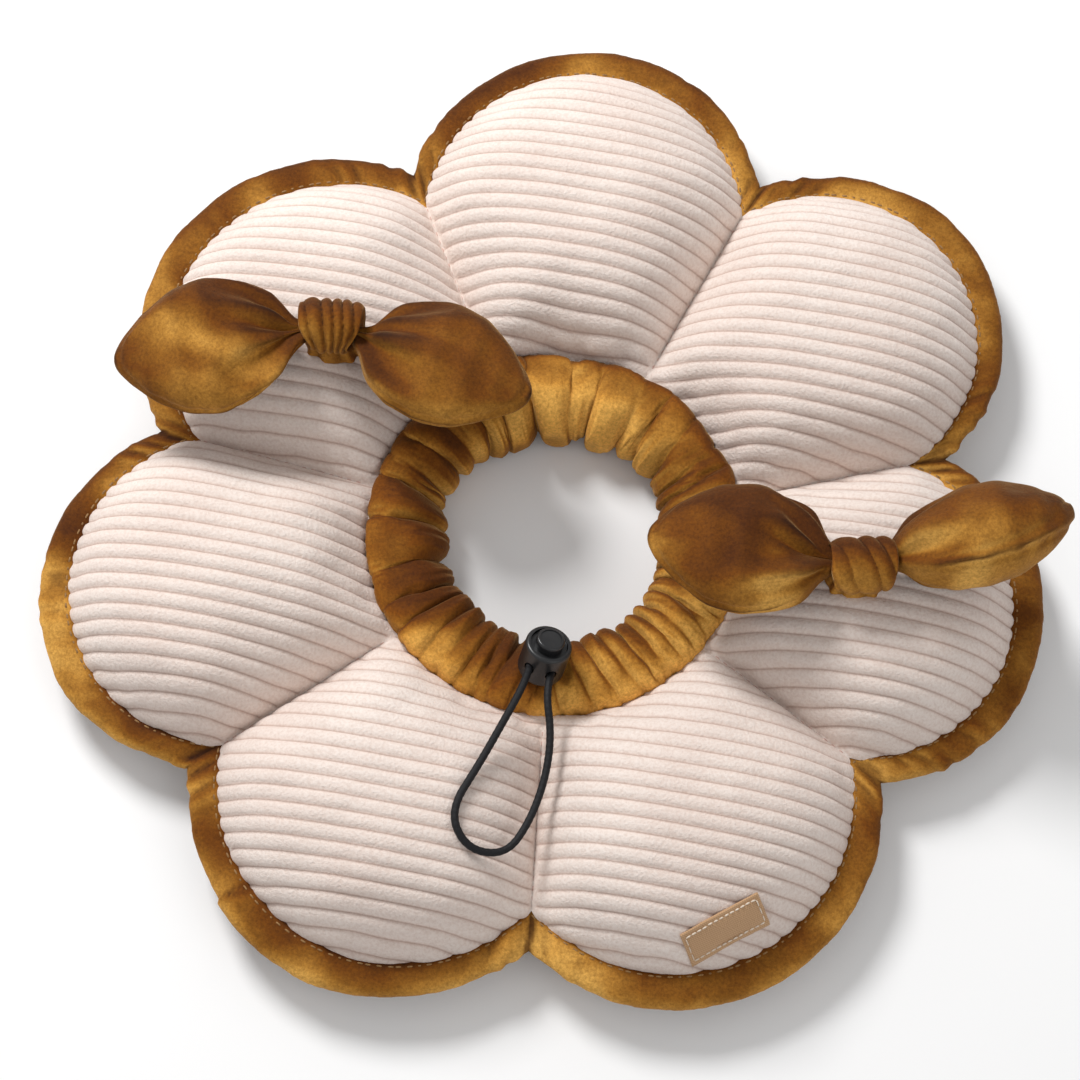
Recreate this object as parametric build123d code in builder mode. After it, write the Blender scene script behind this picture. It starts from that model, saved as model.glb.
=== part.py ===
"""Soft recovery collar for a cat or small dog, shaped like a flower with seven stuffed petals.

The collar lies face up on a table. Two cover panels hold seven fibre pads and are stitched together
between the petals. A velvet binding closes the outer edge, and a gathered velvet sleeve closes the
neck edge and carries an elastic drawcord. A sprung cord lock grips the drawcord, and two stuffed
velvet bows are sewn to two of the petals.

Frame: millimetres, +Z up, origin on the neck axis at the table. The cord lock is on the -Y side.
"""

import os
from math import cos, radians, sin

from build123d import *

# ---- Driving dimensions, in millimetres and degrees ----

NECK_RADIUS = 37.0  # clear radius of the neck opening
SEAM_HEIGHT = 15.0  # plane in which the two covers are stitched together
FABRIC = 1.2  # thickness of a cover panel

# The seams between petals, anticlockwise from the one under the cord lock, and how far the outline
# reaches at each seam and at the tip of the petal that follows it.
SEAM_ANGLES = (-90.0, -35.0, 15.0, 64.0, 114.0, 168.0, 217.0)
CUSP_REACH = (141.0, 137.0, 136.0, 147.0, 142.0, 140.0, 145.0)
TIP_REACH = (167.5, 168.0, 181.0, 182.0, 172.0, 176.0, 170.5)
PETALS = len(SEAM_ANGLES)

PETAL_CENTRE = 112.0  # distance of each petal's crown from the neck axis
PAD_CROWN = 42.0  # height of a pad's crown
CROWN_RADIUS = 85.0  # radius of the domed top of a pad
PAD_INSET = 2.7  # from the stitched outline of a petal to its pad
PAD_CORNER = 10.0  # rounding of a pad's corners seen from above
PAD_TOP_ROUND = 7.5  # rounding of a pad's upper edge
PAD_BASE_ROUND = 6.0  # rounding of a pad's lower edge
NECK_SEAM_RADIUS = 64.0  # where the covers meet the neck sleeve

BINDING_WIDTH = 13.0  # visible width of the edge binding at a petal's tip
BINDING_WIDTH_AT_CUSP = 10.0
BINDING_THICKNESS = 7.2
BINDING_ROUND = 2.6
FLANGE_TUCK = 7.0  # how far the covers run into the binding
FLANGE_TUCK_AT_CUSP = 5.0
TOPSTITCH_MARGIN = 2.2  # from the binding's inner edge
TOPSTITCH_WIDTH = 0.6
TOPSTITCH_PROUD = 0.35

SLEEVE_OUTER_RADIUS = 63.4
SLEEVE_OUTER_HEIGHT = 27.0
SLEEVE_CREST_RADIUS = 45.0  # where the sleeve's top turns down towards the neck opening
SLEEVE_CREST_HEIGHT = 19.5
SLEEVE_NECK_HEIGHT = 17.5
SLEEVE_NECK_ROUND = 3.5
SLEEVE_OUTER_ROUND = 3.0
SLEEVE_WALL = 1.6
SLEEVE_HOLLOW_RADIUS = 56.0  # outer radius of the channel in the sleeve
SLEEVE_HOLLOW_HEIGHT = 21.0
NECK_FLANGE_RADIUS = 59.0  # inner edge of the covers, inside the sleeve's seam

CORD_DIAMETER = 2.5
CORD_RADIUS = CORD_DIAMETER / 2
CORD_RING_RADIUS = 43.0  # the drawcord's run in the sleeve
CORD_RING_HEIGHT = 9.0
CORD_RING_GAP = 12.0  # angle from the -Y axis to each end of the run
BUTTONHOLE_CLEARANCE = 0.25
STRAND_RUN_OUT = 2.6  # straight run of a strand behind the lock
STRAND_CREST = (3.6, -36.4, 21.0)  # where a strand passes over the sleeve's rim; x is to either side
STRAND_RUN_IN = 4.5  # straight run of a strand before the sleeve run

LOCK_CENTRE = Vector(-0.5, -46.0, 31.5)
LOCK_AXIS = Vector(0.207, 0.410, 0.885)  # the button's way out
CORD_HEADING = Vector(-0.25, -1.0, 0.0)  # the way the cords leave, seen from above
LOCK_RADIUS = 7.75
LOCK_BOTTOM = -8.0
LOCK_TOP = 6.2
LOCK_FLOOR = 1.2
LOCK_BASE_ROUND = 2.0
LOCK_RIM_ROUND = 1.1
LOCK_BORE_RADIUS = 6.3
PLUNGER_RADIUS = 6.2
PLUNGER_BOTTOM = -3.2
PLUNGER_SHOULDER = 5.2
BUTTON_RADIUS = 4.7
BUTTON_TOP = 8.8
BUTTON_ROUND = 0.8
BUTTON_DISH_RADIUS = 3.6  # shallow dish in the button's face
BUTTON_DISH_DEPTH = 0.3
BUTTON_TRAVEL = 3.2
CORD_SPACING = 7.4  # between the two cords in the lock
CORD_LEVEL = -1.0  # height of the cords along the lock's axis
CORD_HOLE_RADIUS = 1.7  # across the oval hole
CORD_HOLE_HALF_HEIGHT = 2.3
CORD_SLOT_CLEARANCE = 0.15  # on each side of a cord, in the button's slots
SPRING_RADIUS = 1.25
SPRING_WIRE = 0.4
SPRING_TURNS = 7
SPRING_POCKET_RADIUS = 1.75
SPRING_POCKET_TOP = 2.6

LABEL_CENTRE = Vector(61.5, -130.5, SEAM_HEIGHT + 5.0)
LABEL_SIZE = (28.0, 10.0)
LABEL_TURN = 31.0
LABEL_THICKNESS = 0.6
STITCH_PITCH = 3.0
STITCH_LENGTH = 2.0
STITCH_WIDTH = 0.5
STITCH_MARGIN = 1.4  # from the label's edge
STITCH_PROUD = 0.3

BAND_HALF_LENGTH = 10.0  # the knot band of a bow, along the bow
BAND_RADIUS = 9.5
BAND_WALL = 5.0
KNOT_HEIGHT = 54.5
TAB_RADIUS = 6.5
SHANK_RADIUS = 1.2
BAND_ROUND = 3.0
TAB_GAP = 0.4  # between the tab and the knot band
SHANK_CLEARANCE = 0.1
SHANK_DEPTH = 1.6  # how far the shank reaches down into the tab
SHANK_LENGTH = 4.4
SHANK_SOCKET = 3.2  # depth of the shank's hole in the knot band
EAR_PANEL = 1.0  # thickness of the velvet of an ear
EAR_ROOT = 15.0  # from the knot's centre to the crease where an ear bends
EAR_DROOP = 5.0
# Sections of an ear from its crease to its tip: distance, width and thickness.
EAR_SECTIONS = (
    (-3.0, 8.0, 5.5),
    (9.0, 29.0, 16.0),
    (27.0, 46.0, 25.0),
    (46.0, 35.0, 19.0),
    (59.0, 7.0, 5.0),
)
# Each bow: where its knot is, and the directions of its two ears seen from above.
BOWS = {
    "left_bow": {"knot": (-77.4, 55.5), "ears": {"outer_ear": 192.0, "inner_ear": -16.0}},
    "right_bow": {"knot": (99.8, -16.0), "ears": {"inner_ear": 174.0, "outer_ear": 20.0}},
}

os.makedirs("parts", exist_ok=True)
written = {}


def write(name, part):
    """Labels a finished piece and writes it as parts/NAME.step."""
    part.label = name
    export_step(part, f"parts/{name}.step")
    written[name] = part


def polar(reach, angle, height=0.0):
    """A point at a distance and an angle about the neck axis."""
    return Vector(reach * cos(radians(angle)), reach * sin(radians(angle)), height)


def following(index):
    """Index and angle of the seam after a petal, counted on past a full turn."""
    after = (index + 1) % PETALS
    turn = 360.0 if after == 0 else 0.0
    return after, SEAM_ANGLES[after] + turn


def middle_angle(index):
    return (SEAM_ANGLES[index] + following(index)[1]) / 2


def lobe_points(index, tip_inset, cusp_inset):
    """Start, tip and end of one petal's outer edge."""
    after, after_angle = following(index)
    start = polar(CUSP_REACH[index] - cusp_inset, SEAM_ANGLES[index])
    tip = polar(TIP_REACH[index] - tip_inset, middle_angle(index))
    end = polar(CUSP_REACH[after] - cusp_inset, after_angle)
    return start, tip, end


def flower_sketch(height, tip_inset=0.0, cusp_inset=0.0):
    """The lobed outline of the whole collar, drawn inside the finished edge by the insets."""
    with BuildSketch(Plane.XY.offset(height)) as flower:
        with BuildLine():
            for index in range(PETALS):
                ThreePointArc(*lobe_points(index, tip_inset, cusp_inset))
        make_face()
    return flower.sketch


def covers_sketch(height):
    """The outline of the covers, which run into the binding."""
    tip_inset = BINDING_WIDTH - FLANGE_TUCK
    return flower_sketch(height, tip_inset, BINDING_WIDTH_AT_CUSP - FLANGE_TUCK_AT_CUSP)


# ---- Petal pads and covers ----


def petal_solid(index, grow):
    """The domed solid of one pad, made larger all round by grow."""
    inset = PAD_INSET - grow
    base = FABRIC - grow
    start, tip, end = lobe_points(index, BINDING_WIDTH, BINDING_WIDTH_AT_CUSP)
    crown = polar(PETAL_CENTRE, middle_angle(index), PAD_CROWN - CROWN_RADIUS)
    with BuildPart() as petal:
        with BuildSketch(Plane.XY.offset(base)) as outline:
            with BuildLine():
                Line((0, 0), start)
                ThreePointArc(start, tip, end)
                Line(end, (0, 0))
            make_face()
            offset(amount=-inset, kind=Kind.INTERSECTION)
            Circle(NECK_SEAM_RADIUS + inset, mode=Mode.SUBTRACT)
            fillet(outline.vertices(), PAD_CORNER + grow)
        extrude(amount=PAD_CROWN + 2 * grow)
        with Locations(crown):
            Sphere(CROWN_RADIUS + grow, mode=Mode.INTERSECT)
        dome = petal.faces().filter_by(GeomType.SPHERE)[0]
        fillet(dome.edges(), PAD_TOP_ROUND + grow)
        fillet(petal.faces().sort_by(Axis.Z)[0].edges(), PAD_BASE_ROUND + grow)
    return petal.part


pads = [petal_solid(index, 0.0) for index in range(PETALS)]
domes = [petal_solid(index, FABRIC) for index in range(PETALS)]
for index, pad in enumerate(pads):
    write(f"petal_pad_{index + 1}", pad)


def cover(side):
    """One cover panel: a flat stitched web with a pocket over each pad."""
    keep = Keep.TOP if side > 0 else Keep.BOTTOM
    with BuildPart() as panel:
        with BuildSketch(Plane.XY.offset(SEAM_HEIGHT)):
            add(covers_sketch(SEAM_HEIGHT))
            Circle(NECK_FLANGE_RADIUS, mode=Mode.SUBTRACT)
        extrude(amount=side * FABRIC)
        for dome in domes:
            add(split(dome, bisect_by=Plane.XY.offset(SEAM_HEIGHT), keep=keep, mode=Mode.PRIVATE))
        for pad in pads:
            add(pad, mode=Mode.SUBTRACT)
    return panel.part


front_cover = cover(+1)
back_cover = cover(-1)
write("front_cover", front_cover)
write("back_cover", back_cover)


# ---- Edge binding ----

with BuildPart() as edge_binding:
    with BuildSketch(Plane.XY.offset(SEAM_HEIGHT - BINDING_THICKNESS / 2)):
        add(flower_sketch(SEAM_HEIGHT - BINDING_THICKNESS / 2))
    extrude(amount=BINDING_THICKNESS)
    fillet(edge_binding.edges().filter_by(Axis.Z), BINDING_ROUND)
    rims = edge_binding.faces().sort_by(Axis.Z)
    fillet(rims[0].edges() + rims[-1].edges(), BINDING_ROUND)
    with BuildSketch(Plane.XY.offset(SEAM_HEIGHT - BINDING_THICKNESS)):
        add(flower_sketch(SEAM_HEIGHT - BINDING_THICKNESS, BINDING_WIDTH, BINDING_WIDTH_AT_CUSP))
    extrude(amount=2 * BINDING_THICKNESS, mode=Mode.SUBTRACT)
    with BuildSketch(Plane.XY.offset(SEAM_HEIGHT - FABRIC)):
        add(covers_sketch(SEAM_HEIGHT - FABRIC))
    extrude(amount=2 * FABRIC, mode=Mode.SUBTRACT)
write("edge_binding", edge_binding.part)

tip_line = BINDING_WIDTH - TOPSTITCH_MARGIN
cusp_line = BINDING_WIDTH_AT_CUSP - TOPSTITCH_MARGIN
with BuildPart() as binding_topstitch:
    above = SEAM_HEIGHT + BINDING_THICKNESS / 2
    below = SEAM_HEIGHT - BINDING_THICKNESS / 2 - TOPSTITCH_PROUD
    for height in (above, below):
        with BuildSketch(Plane.XY.offset(height)):
            add(flower_sketch(height, tip_line, cusp_line))
            inner_line = flower_sketch(height, tip_line + TOPSTITCH_WIDTH, cusp_line + TOPSTITCH_WIDTH)
            add(inner_line, mode=Mode.SUBTRACT)
        extrude(amount=TOPSTITCH_PROUD)
write("binding_topstitch", binding_topstitch.part)


# ---- Quilting thread, one run along each seam between petals ----

THREAD_RADIUS = 0.4
THREAD_START = 67.0
THREAD_SHORT_OF_CUSP = 14.0
THREAD_HEIGHT = SEAM_HEIGHT + FABRIC + THREAD_RADIUS + 0.02

with BuildPart() as quilting_thread:
    for seam_angle, cusp in zip(SEAM_ANGLES, CUSP_REACH):
        start = polar(THREAD_START, seam_angle, THREAD_HEIGHT)
        run = cusp - THREAD_SHORT_OF_CUSP - THREAD_START
        with BuildSketch(Plane(origin=start, z_dir=polar(1.0, seam_angle))):
            Circle(THREAD_RADIUS)
        extrude(amount=run)
write("quilting_thread", quilting_thread.part)


# ---- Cord lock ----

lock_plane = Plane(origin=LOCK_CENTRE, x_dir=CORD_HEADING, z_dir=LOCK_AXIS)
out_of_lock = lock_plane.x_dir
# From the lock's axis to the mouth of a cord hole, along the cord.
cord_mouth = (LOCK_RADIUS**2 - (CORD_SPACING / 2) ** 2) ** 0.5


def lock_point(x, y, z):
    """A point in the lock's own axes, in the collar's frame."""
    return lock_plane.from_local_coords(Vector(x, y, z))


def across_lock(x, y, z):
    """A plane square to the cords, at a point in the lock's own axes."""
    return Plane(origin=lock_point(x, y, z), x_dir=lock_plane.y_dir, z_dir=out_of_lock)


with BuildPart() as cord_lock_barrel:
    with BuildSketch(lock_plane.offset(LOCK_BOTTOM)):
        Circle(LOCK_RADIUS)
    extrude(amount=LOCK_TOP - LOCK_BOTTOM)
    rims = cord_lock_barrel.edges().filter_by(GeomType.CIRCLE).sort_by(Axis(LOCK_CENTRE, LOCK_AXIS))
    fillet(rims[0], LOCK_BASE_ROUND)
    fillet(rims[-1], LOCK_RIM_ROUND)
    with BuildSketch(lock_plane.offset(LOCK_BOTTOM + LOCK_FLOOR)):
        Circle(LOCK_BORE_RADIUS)
    extrude(amount=LOCK_TOP - LOCK_BOTTOM, mode=Mode.SUBTRACT)
    for side in (-1, 1):
        with BuildSketch(across_lock(-LOCK_RADIUS, side * CORD_SPACING / 2, CORD_LEVEL)):
            Ellipse(CORD_HOLE_RADIUS, CORD_HOLE_HALF_HEIGHT)
        extrude(amount=2 * LOCK_RADIUS, mode=Mode.SUBTRACT)
write("cord_lock_barrel", cord_lock_barrel.part)

slot_bottom = CORD_LEVEL - CORD_RADIUS - 0.05
slot_top = CORD_LEVEL + CORD_RADIUS + BUTTON_TRAVEL + CORD_SLOT_CLEARANCE
slot_middle = (slot_bottom + slot_top) / 2
with BuildPart() as cord_lock_button:
    with BuildSketch(lock_plane.offset(PLUNGER_BOTTOM)):
        Circle(PLUNGER_RADIUS)
    extrude(amount=PLUNGER_SHOULDER - PLUNGER_BOTTOM)
    with BuildSketch(lock_plane.offset(PLUNGER_SHOULDER)):
        Circle(BUTTON_RADIUS)
    button_boss = extrude(amount=BUTTON_TOP - PLUNGER_SHOULDER)
    rims = button_boss.edges().filter_by(GeomType.CIRCLE).sort_by(Axis(LOCK_CENTRE, LOCK_AXIS))
    fillet(rims[-1], BUTTON_ROUND)
    with BuildSketch(lock_plane.offset(BUTTON_TOP)):
        Circle(BUTTON_DISH_RADIUS)
    extrude(amount=-BUTTON_DISH_DEPTH, taper=-30, mode=Mode.SUBTRACT)
    with BuildSketch(lock_plane.offset(PLUNGER_BOTTOM)):
        Circle(SPRING_POCKET_RADIUS)
    extrude(amount=SPRING_POCKET_TOP - PLUNGER_BOTTOM, mode=Mode.SUBTRACT)
    for side in (-1, 1):
        with BuildSketch(across_lock(-LOCK_RADIUS, side * CORD_SPACING / 2, slot_middle)):
            Rectangle(CORD_DIAMETER + 2 * CORD_SLOT_CLEARANCE, slot_top - slot_bottom)
        extrude(amount=2 * LOCK_RADIUS, mode=Mode.SUBTRACT)
write("cord_lock_button", cord_lock_button.part)

spring_length = SPRING_POCKET_TOP - LOCK_BOTTOM - LOCK_FLOOR - SPRING_WIRE - 0.1
spring_base = LOCK_BOTTOM + LOCK_FLOOR + SPRING_WIRE / 2 + 0.05
with BuildPart() as cord_lock_spring:
    with BuildLine() as coil:
        Helix(
            pitch=spring_length / SPRING_TURNS,
            height=spring_length,
            radius=SPRING_RADIUS,
            center=lock_point(0, 0, spring_base),
            direction=lock_plane.z_dir,
        )
    with BuildSketch(Plane(origin=coil.line @ 0, z_dir=coil.line % 0)):
        Circle(SPRING_WIRE / 2)
    sweep(path=coil.line, is_frenet=True)
write("cord_lock_spring", cord_lock_spring.part)


# ---- Drawcord: the run in the sleeve, the strands up to the lock, the leads in it and the loop ----

ring_start = polar(CORD_RING_RADIUS, -90.0 + CORD_RING_GAP, CORD_RING_HEIGHT)
ring_end = polar(CORD_RING_RADIUS, -90.0 - CORD_RING_GAP, CORD_RING_HEIGHT)
ring_far = polar(CORD_RING_RADIUS, 90.0, CORD_RING_HEIGHT)


def corner_radii(points):
    """The radius of the arc at each inner point of a route: it takes 0.45 of the shorter run beside it."""
    radii = []
    for before, corner, after in zip(points, points[1:], points[2:]):
        run_in = corner - before
        run_out = after - corner
        half_turn = radians(run_in.get_angle(run_out) / 2)
        radii.append(0.45 * min(run_in.length, run_out.length) / (sin(half_turn) / cos(half_turn)))
    return radii


def tube(points, radius):
    """A round tube of straight runs joined by tangent arcs."""
    with BuildPart() as piece:
        with BuildLine() as route:
            FilletPolyline(*points, radius=corner_radii(points))
        with BuildSketch(Plane(origin=points[0], z_dir=points[1] - points[0])):
            Circle(radius)
        sweep(path=route.line)
    return piece.part, sum(edge.length for edge in route.line.edges())


with BuildPart() as drawcord_sleeve_run:
    with BuildLine() as ring:
        ThreePointArc(ring_start, ring_far, ring_end)
    with BuildSketch(Plane(origin=ring_start, z_dir=ring.line % 0)):
        Circle(CORD_RADIUS)
    sweep(path=ring.line)
write("drawcord_sleeve_run", drawcord_sleeve_run.part)


def strand_points(side):
    """Route from the back of the lock, over the sleeve's rim and down to the end of the ring run."""
    mouth = lock_point(-cord_mouth - 0.05, side * CORD_SPACING / 2, CORD_LEVEL)
    ring_tip = ring_start if side > 0 else ring_end
    crest_side, crest_y, crest_z = STRAND_CREST
    along_ring = Vector(side * cos(radians(CORD_RING_GAP)), sin(radians(CORD_RING_GAP)), 0.0)
    return [
        mouth,
        mouth - out_of_lock * STRAND_RUN_OUT,
        Vector(side * crest_side, crest_y, crest_z),
        ring_tip - along_ring * STRAND_RUN_IN,
        ring_tip,
    ]


strands = [tube(strand_points(side), CORD_RADIUS)[0] for side in (-1, 1)]
strand_holes = [tube(strand_points(side), CORD_RADIUS + BUTTONHOLE_CLEARANCE)[0] for side in (-1, 1)]
with BuildPart() as drawcord_strands:
    for strand in strands:
        add(strand)
write("drawcord_strands", drawcord_strands.part)

with BuildPart() as drawcord_leads:
    for side in (-1, 1):
        with BuildSketch(across_lock(-cord_mouth, side * CORD_SPACING / 2, CORD_LEVEL)):
            Circle(CORD_RADIUS)
        extrude(amount=2 * cord_mouth)
write("drawcord_leads", drawcord_leads.part)

left_mouth = lock_point(cord_mouth, -CORD_SPACING / 2, CORD_LEVEL)
right_mouth = lock_point(cord_mouth, CORD_SPACING / 2, CORD_LEVEL)
LOOP_ROUTE = [
    left_mouth,
    left_mouth + out_of_lock * 7.0,
    Vector(-12.5, -71.0, 39.5),
    Vector(-19.5, -86.0, 39.8),
    Vector(-27.5, -102.0, 42.0),
    Vector(-21.5, -113.3, 39.6),
    Vector(-9.0, -113.5, 36.0),
    Vector(-2.2, -102.3, 34.2),
    Vector(2.2, -87.5, 34.0),
    Vector(3.2, -73.0, 34.8),
    right_mouth + out_of_lock * 7.0,
    right_mouth,
]
loop, loop_length = tube(LOOP_ROUTE, CORD_RADIUS)
write("drawcord_loop", loop)


# ---- Neck sleeve: a hollow velvet ring, slotted for the covers and with two buttonholes ----

with BuildPart() as neck_sleeve:
    with BuildSketch(Plane.XZ) as wall:
        with BuildLine():
            Polyline(
                (NECK_RADIUS, 0.0),
                (SLEEVE_OUTER_RADIUS, 0.0),
                (SLEEVE_OUTER_RADIUS, SLEEVE_OUTER_HEIGHT),
                (SLEEVE_CREST_RADIUS, SLEEVE_CREST_HEIGHT),
                (NECK_RADIUS, SLEEVE_NECK_HEIGHT),
                close=True,
            )
        make_face()
        top_corners = wall.vertices().filter_by(lambda corner: corner.Y > 1.0)
        fillet(top_corners.sort_by(Axis.X)[0], SLEEVE_NECK_ROUND)
        fillet(wall.vertices().sort_by(Axis.Y)[-1], SLEEVE_OUTER_ROUND)
        with BuildLine():
            Polyline(
                (NECK_RADIUS + SLEEVE_WALL, SLEEVE_WALL),
                (SLEEVE_HOLLOW_RADIUS, SLEEVE_WALL),
                (SLEEVE_HOLLOW_RADIUS, SLEEVE_HOLLOW_HEIGHT),
                (SLEEVE_CREST_RADIUS, SLEEVE_CREST_HEIGHT - 1.9),
                (NECK_RADIUS + SLEEVE_WALL, SLEEVE_NECK_HEIGHT - 1.9),
                close=True,
            )
        make_face(mode=Mode.SUBTRACT)
        with Locations((SLEEVE_OUTER_RADIUS, SEAM_HEIGHT)):
            Rectangle(2 * (SLEEVE_OUTER_RADIUS - NECK_FLANGE_RADIUS), 2 * FABRIC, mode=Mode.SUBTRACT)
    revolve(axis=Axis.Z)
    for hole in strand_holes:
        add(hole, mode=Mode.SUBTRACT)
write("neck_sleeve", neck_sleeve.part)


# ---- Woven label, plain, and its stitching ----

label_plane = Plane(origin=LABEL_CENTRE, x_dir=polar(1.0, LABEL_TURN), z_dir=(0, 0, 1))
label_top = petal_solid(0, FABRIC + LABEL_THICKNESS)
stitch_top = petal_solid(0, FABRIC + LABEL_THICKNESS + STITCH_PROUD)

with BuildPart() as woven_label:
    with BuildSketch(label_plane):
        Rectangle(*LABEL_SIZE)
    extrude(amount=PAD_CROWN)
    add(label_top, mode=Mode.INTERSECT)
    add(domes[0], mode=Mode.SUBTRACT)
write("woven_label", woven_label.part)

with BuildPart() as label_stitching:
    with BuildSketch(label_plane):
        for side in (-1, 1):
            with Locations((0, side * (LABEL_SIZE[1] / 2 - STITCH_MARGIN))):
                with GridLocations(STITCH_PITCH, 0, int(LABEL_SIZE[0] / STITCH_PITCH), 1):
                    Rectangle(STITCH_LENGTH, STITCH_WIDTH)
    extrude(amount=PAD_CROWN)
    add(stitch_top, mode=Mode.INTERSECT)
    add(label_top, mode=Mode.SUBTRACT)
write("label_stitching", label_stitching.part)


# ---- Bows ----


def ear_solid(plane, shrink):
    """The stuffed leaf of an ear, lofted along its plane's x direction."""
    with BuildPart() as ear:
        for station, width, thickness in EAR_SECTIONS:
            if station == EAR_SECTIONS[0][0]:
                station = station + shrink
            if station == EAR_SECTIONS[-1][0]:
                station = station - shrink
            centre = plane.from_local_coords(Vector(station, 0, 0))
            with BuildSketch(Plane(origin=centre, x_dir=plane.y_dir, z_dir=plane.x_dir)):
                Ellipse(width / 2 - shrink, thickness / 2 - shrink)
        loft()
    return ear.part


def ear_plane(knot, yaw):
    """The frame of an ear: origin on its crease, x to its tip, z up."""
    outward = polar(1.0, yaw)
    drop = sin(radians(EAR_DROOP))
    reach = cos(radians(EAR_DROOP))
    x_dir = Vector(outward.X * reach, outward.Y * reach, -drop)
    z_dir = Vector(outward.X * drop, outward.Y * drop, reach)
    return Plane(origin=knot + outward * EAR_ROOT, x_dir=x_dir, z_dir=z_dir)


def write_ear(name, plane):
    outside = ear_solid(plane, 0.0)
    inside = ear_solid(plane, EAR_PANEL)
    write(f"{name}_filling", inside)
    for panel, keep in (("front_panel", Keep.TOP), ("back_panel", Keep.BOTTOM)):
        with BuildPart() as velvet:
            add(split(outside, bisect_by=plane, keep=keep, mode=Mode.PRIVATE))
            add(inside, mode=Mode.SUBTRACT)
        write(f"{name}_{panel}", velvet.part)


def write_bow(name, knot_xy, ears):
    knot = Vector(*knot_xy, KNOT_HEIGHT)
    directions = [polar(1.0, yaw) for yaw in ears.values()]
    along = (directions[0] - directions[1]).normalized()
    across_bow = Plane(origin=knot - along * BAND_HALF_LENGTH, x_dir=(0, 0, 1), z_dir=along)
    underside = KNOT_HEIGHT - BAND_RADIUS
    with BuildPart() as core:
        with BuildSketch(across_bow):
            Circle(BAND_RADIUS - BAND_WALL)
        extrude(amount=2 * BAND_HALF_LENGTH)
    write(f"{name}_core", core.part)
    with BuildPart() as band:
        with BuildSketch(across_bow):
            Circle(BAND_RADIUS)
        extrude(amount=2 * BAND_HALF_LENGTH)
        fillet(band.edges().filter_by(GeomType.CIRCLE), BAND_ROUND)
        with BuildSketch(across_bow):
            Circle(BAND_RADIUS - BAND_WALL)
        extrude(amount=2 * BAND_HALF_LENGTH, mode=Mode.SUBTRACT)
        with BuildSketch(Plane(origin=(*knot_xy, underside))):
            Circle(SHANK_RADIUS + SHANK_CLEARANCE)
        extrude(amount=SHANK_SOCKET, mode=Mode.SUBTRACT)
    write(f"{name}_knot_band", band.part)
    with BuildPart() as tab:
        with BuildSketch(Plane(origin=(*knot_xy, 0.0))):
            Circle(TAB_RADIUS)
        extrude(amount=underside - TAB_GAP)
        for dome in domes:
            add(dome, mode=Mode.SUBTRACT)
        with BuildSketch(Plane(origin=(*knot_xy, 0.0))):
            Circle(SHANK_RADIUS)
        extrude(amount=underside, mode=Mode.SUBTRACT)
    top_piece = tab.part.solids().sort_by(Axis.Z)[-1]
    write(f"{name}_anchor_tab", top_piece)
    with BuildPart() as shank:
        with BuildSketch(Plane(origin=(*knot_xy, underside - SHANK_DEPTH))):
            Circle(SHANK_RADIUS)
        extrude(amount=SHANK_LENGTH)
        for dome in domes:
            add(dome, mode=Mode.SUBTRACT)
    write(f"{name}_thread_shank", shank.part)
    for ear, yaw in ears.items():
        write_ear(f"{name}_{ear}", ear_plane(knot, yaw))


for bow_name, bow in BOWS.items():
    write_bow(bow_name, bow["knot"], bow["ears"])

print("pieces", len(written))
print("loop length", round(loop_length, 1))
print("sharpest turn of the loop", round(min(corner_radii(LOOP_ROUTE)), 1))
print("loop volume", round(loop.volume), "expected", round(loop_length * 3.1416 * CORD_RADIUS**2))
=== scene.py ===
"""Looks of a soft flower-shaped recovery collar: quilted corduroy petals with a velvet binding, a
gathered velvet neck sleeve, two stuffed bows, a drawcord with its cord lock and a woven label.

Metres, +Z up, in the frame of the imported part: the neck axis is Z and the table is z = 0.
"""
import math
from collections import namedtuple

import bpy
import numpy as np
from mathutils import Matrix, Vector
from mathutils.bvhtree import BVHTree
from mathutils.geometry import delaunay_2d_cdt


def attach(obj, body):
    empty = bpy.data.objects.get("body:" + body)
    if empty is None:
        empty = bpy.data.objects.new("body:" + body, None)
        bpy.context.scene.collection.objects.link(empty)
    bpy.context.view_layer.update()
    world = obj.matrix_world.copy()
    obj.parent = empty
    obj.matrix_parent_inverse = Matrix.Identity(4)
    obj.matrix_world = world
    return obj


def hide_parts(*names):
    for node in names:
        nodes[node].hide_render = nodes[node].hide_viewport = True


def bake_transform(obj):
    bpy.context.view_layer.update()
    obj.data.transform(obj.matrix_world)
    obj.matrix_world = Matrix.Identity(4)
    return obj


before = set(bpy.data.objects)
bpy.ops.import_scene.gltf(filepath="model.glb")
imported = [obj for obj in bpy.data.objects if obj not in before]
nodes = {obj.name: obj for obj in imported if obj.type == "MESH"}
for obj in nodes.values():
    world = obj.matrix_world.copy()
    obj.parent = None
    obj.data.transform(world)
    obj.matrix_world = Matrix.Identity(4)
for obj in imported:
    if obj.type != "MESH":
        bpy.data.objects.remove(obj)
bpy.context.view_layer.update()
scene = bpy.context.scene
MM = 0.001

# ---- Sizes shared with the part ----

SEAM_ANGLES = (-90.0, -35.0, 15.0, 64.0, 114.0, 168.0, 217.0)
CUSP_REACH = (0.141, 0.137, 0.136, 0.147, 0.142, 0.140, 0.145)
TIP_REACH = (0.1675, 0.168, 0.181, 0.182, 0.172, 0.176, 0.1705)
PETALS = len(SEAM_ANGLES)
SEAM_HEIGHT = 0.015
NECK_SEAM_RADIUS = 0.0632
BINDING_WIDTH = 0.013
BINDING_WIDTH_AT_CUSP = 0.0145
BINDING_HALF_THICKNESS = 0.0038
CORD_DIAMETER = 0.0025
LOCK_CENTRE = Vector((-0.0005, -0.0460, 0.0315))
LOCK_AXIS = Vector((0.207, 0.410, 0.885)).normalized()

# ---- Corduroy ----

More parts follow.
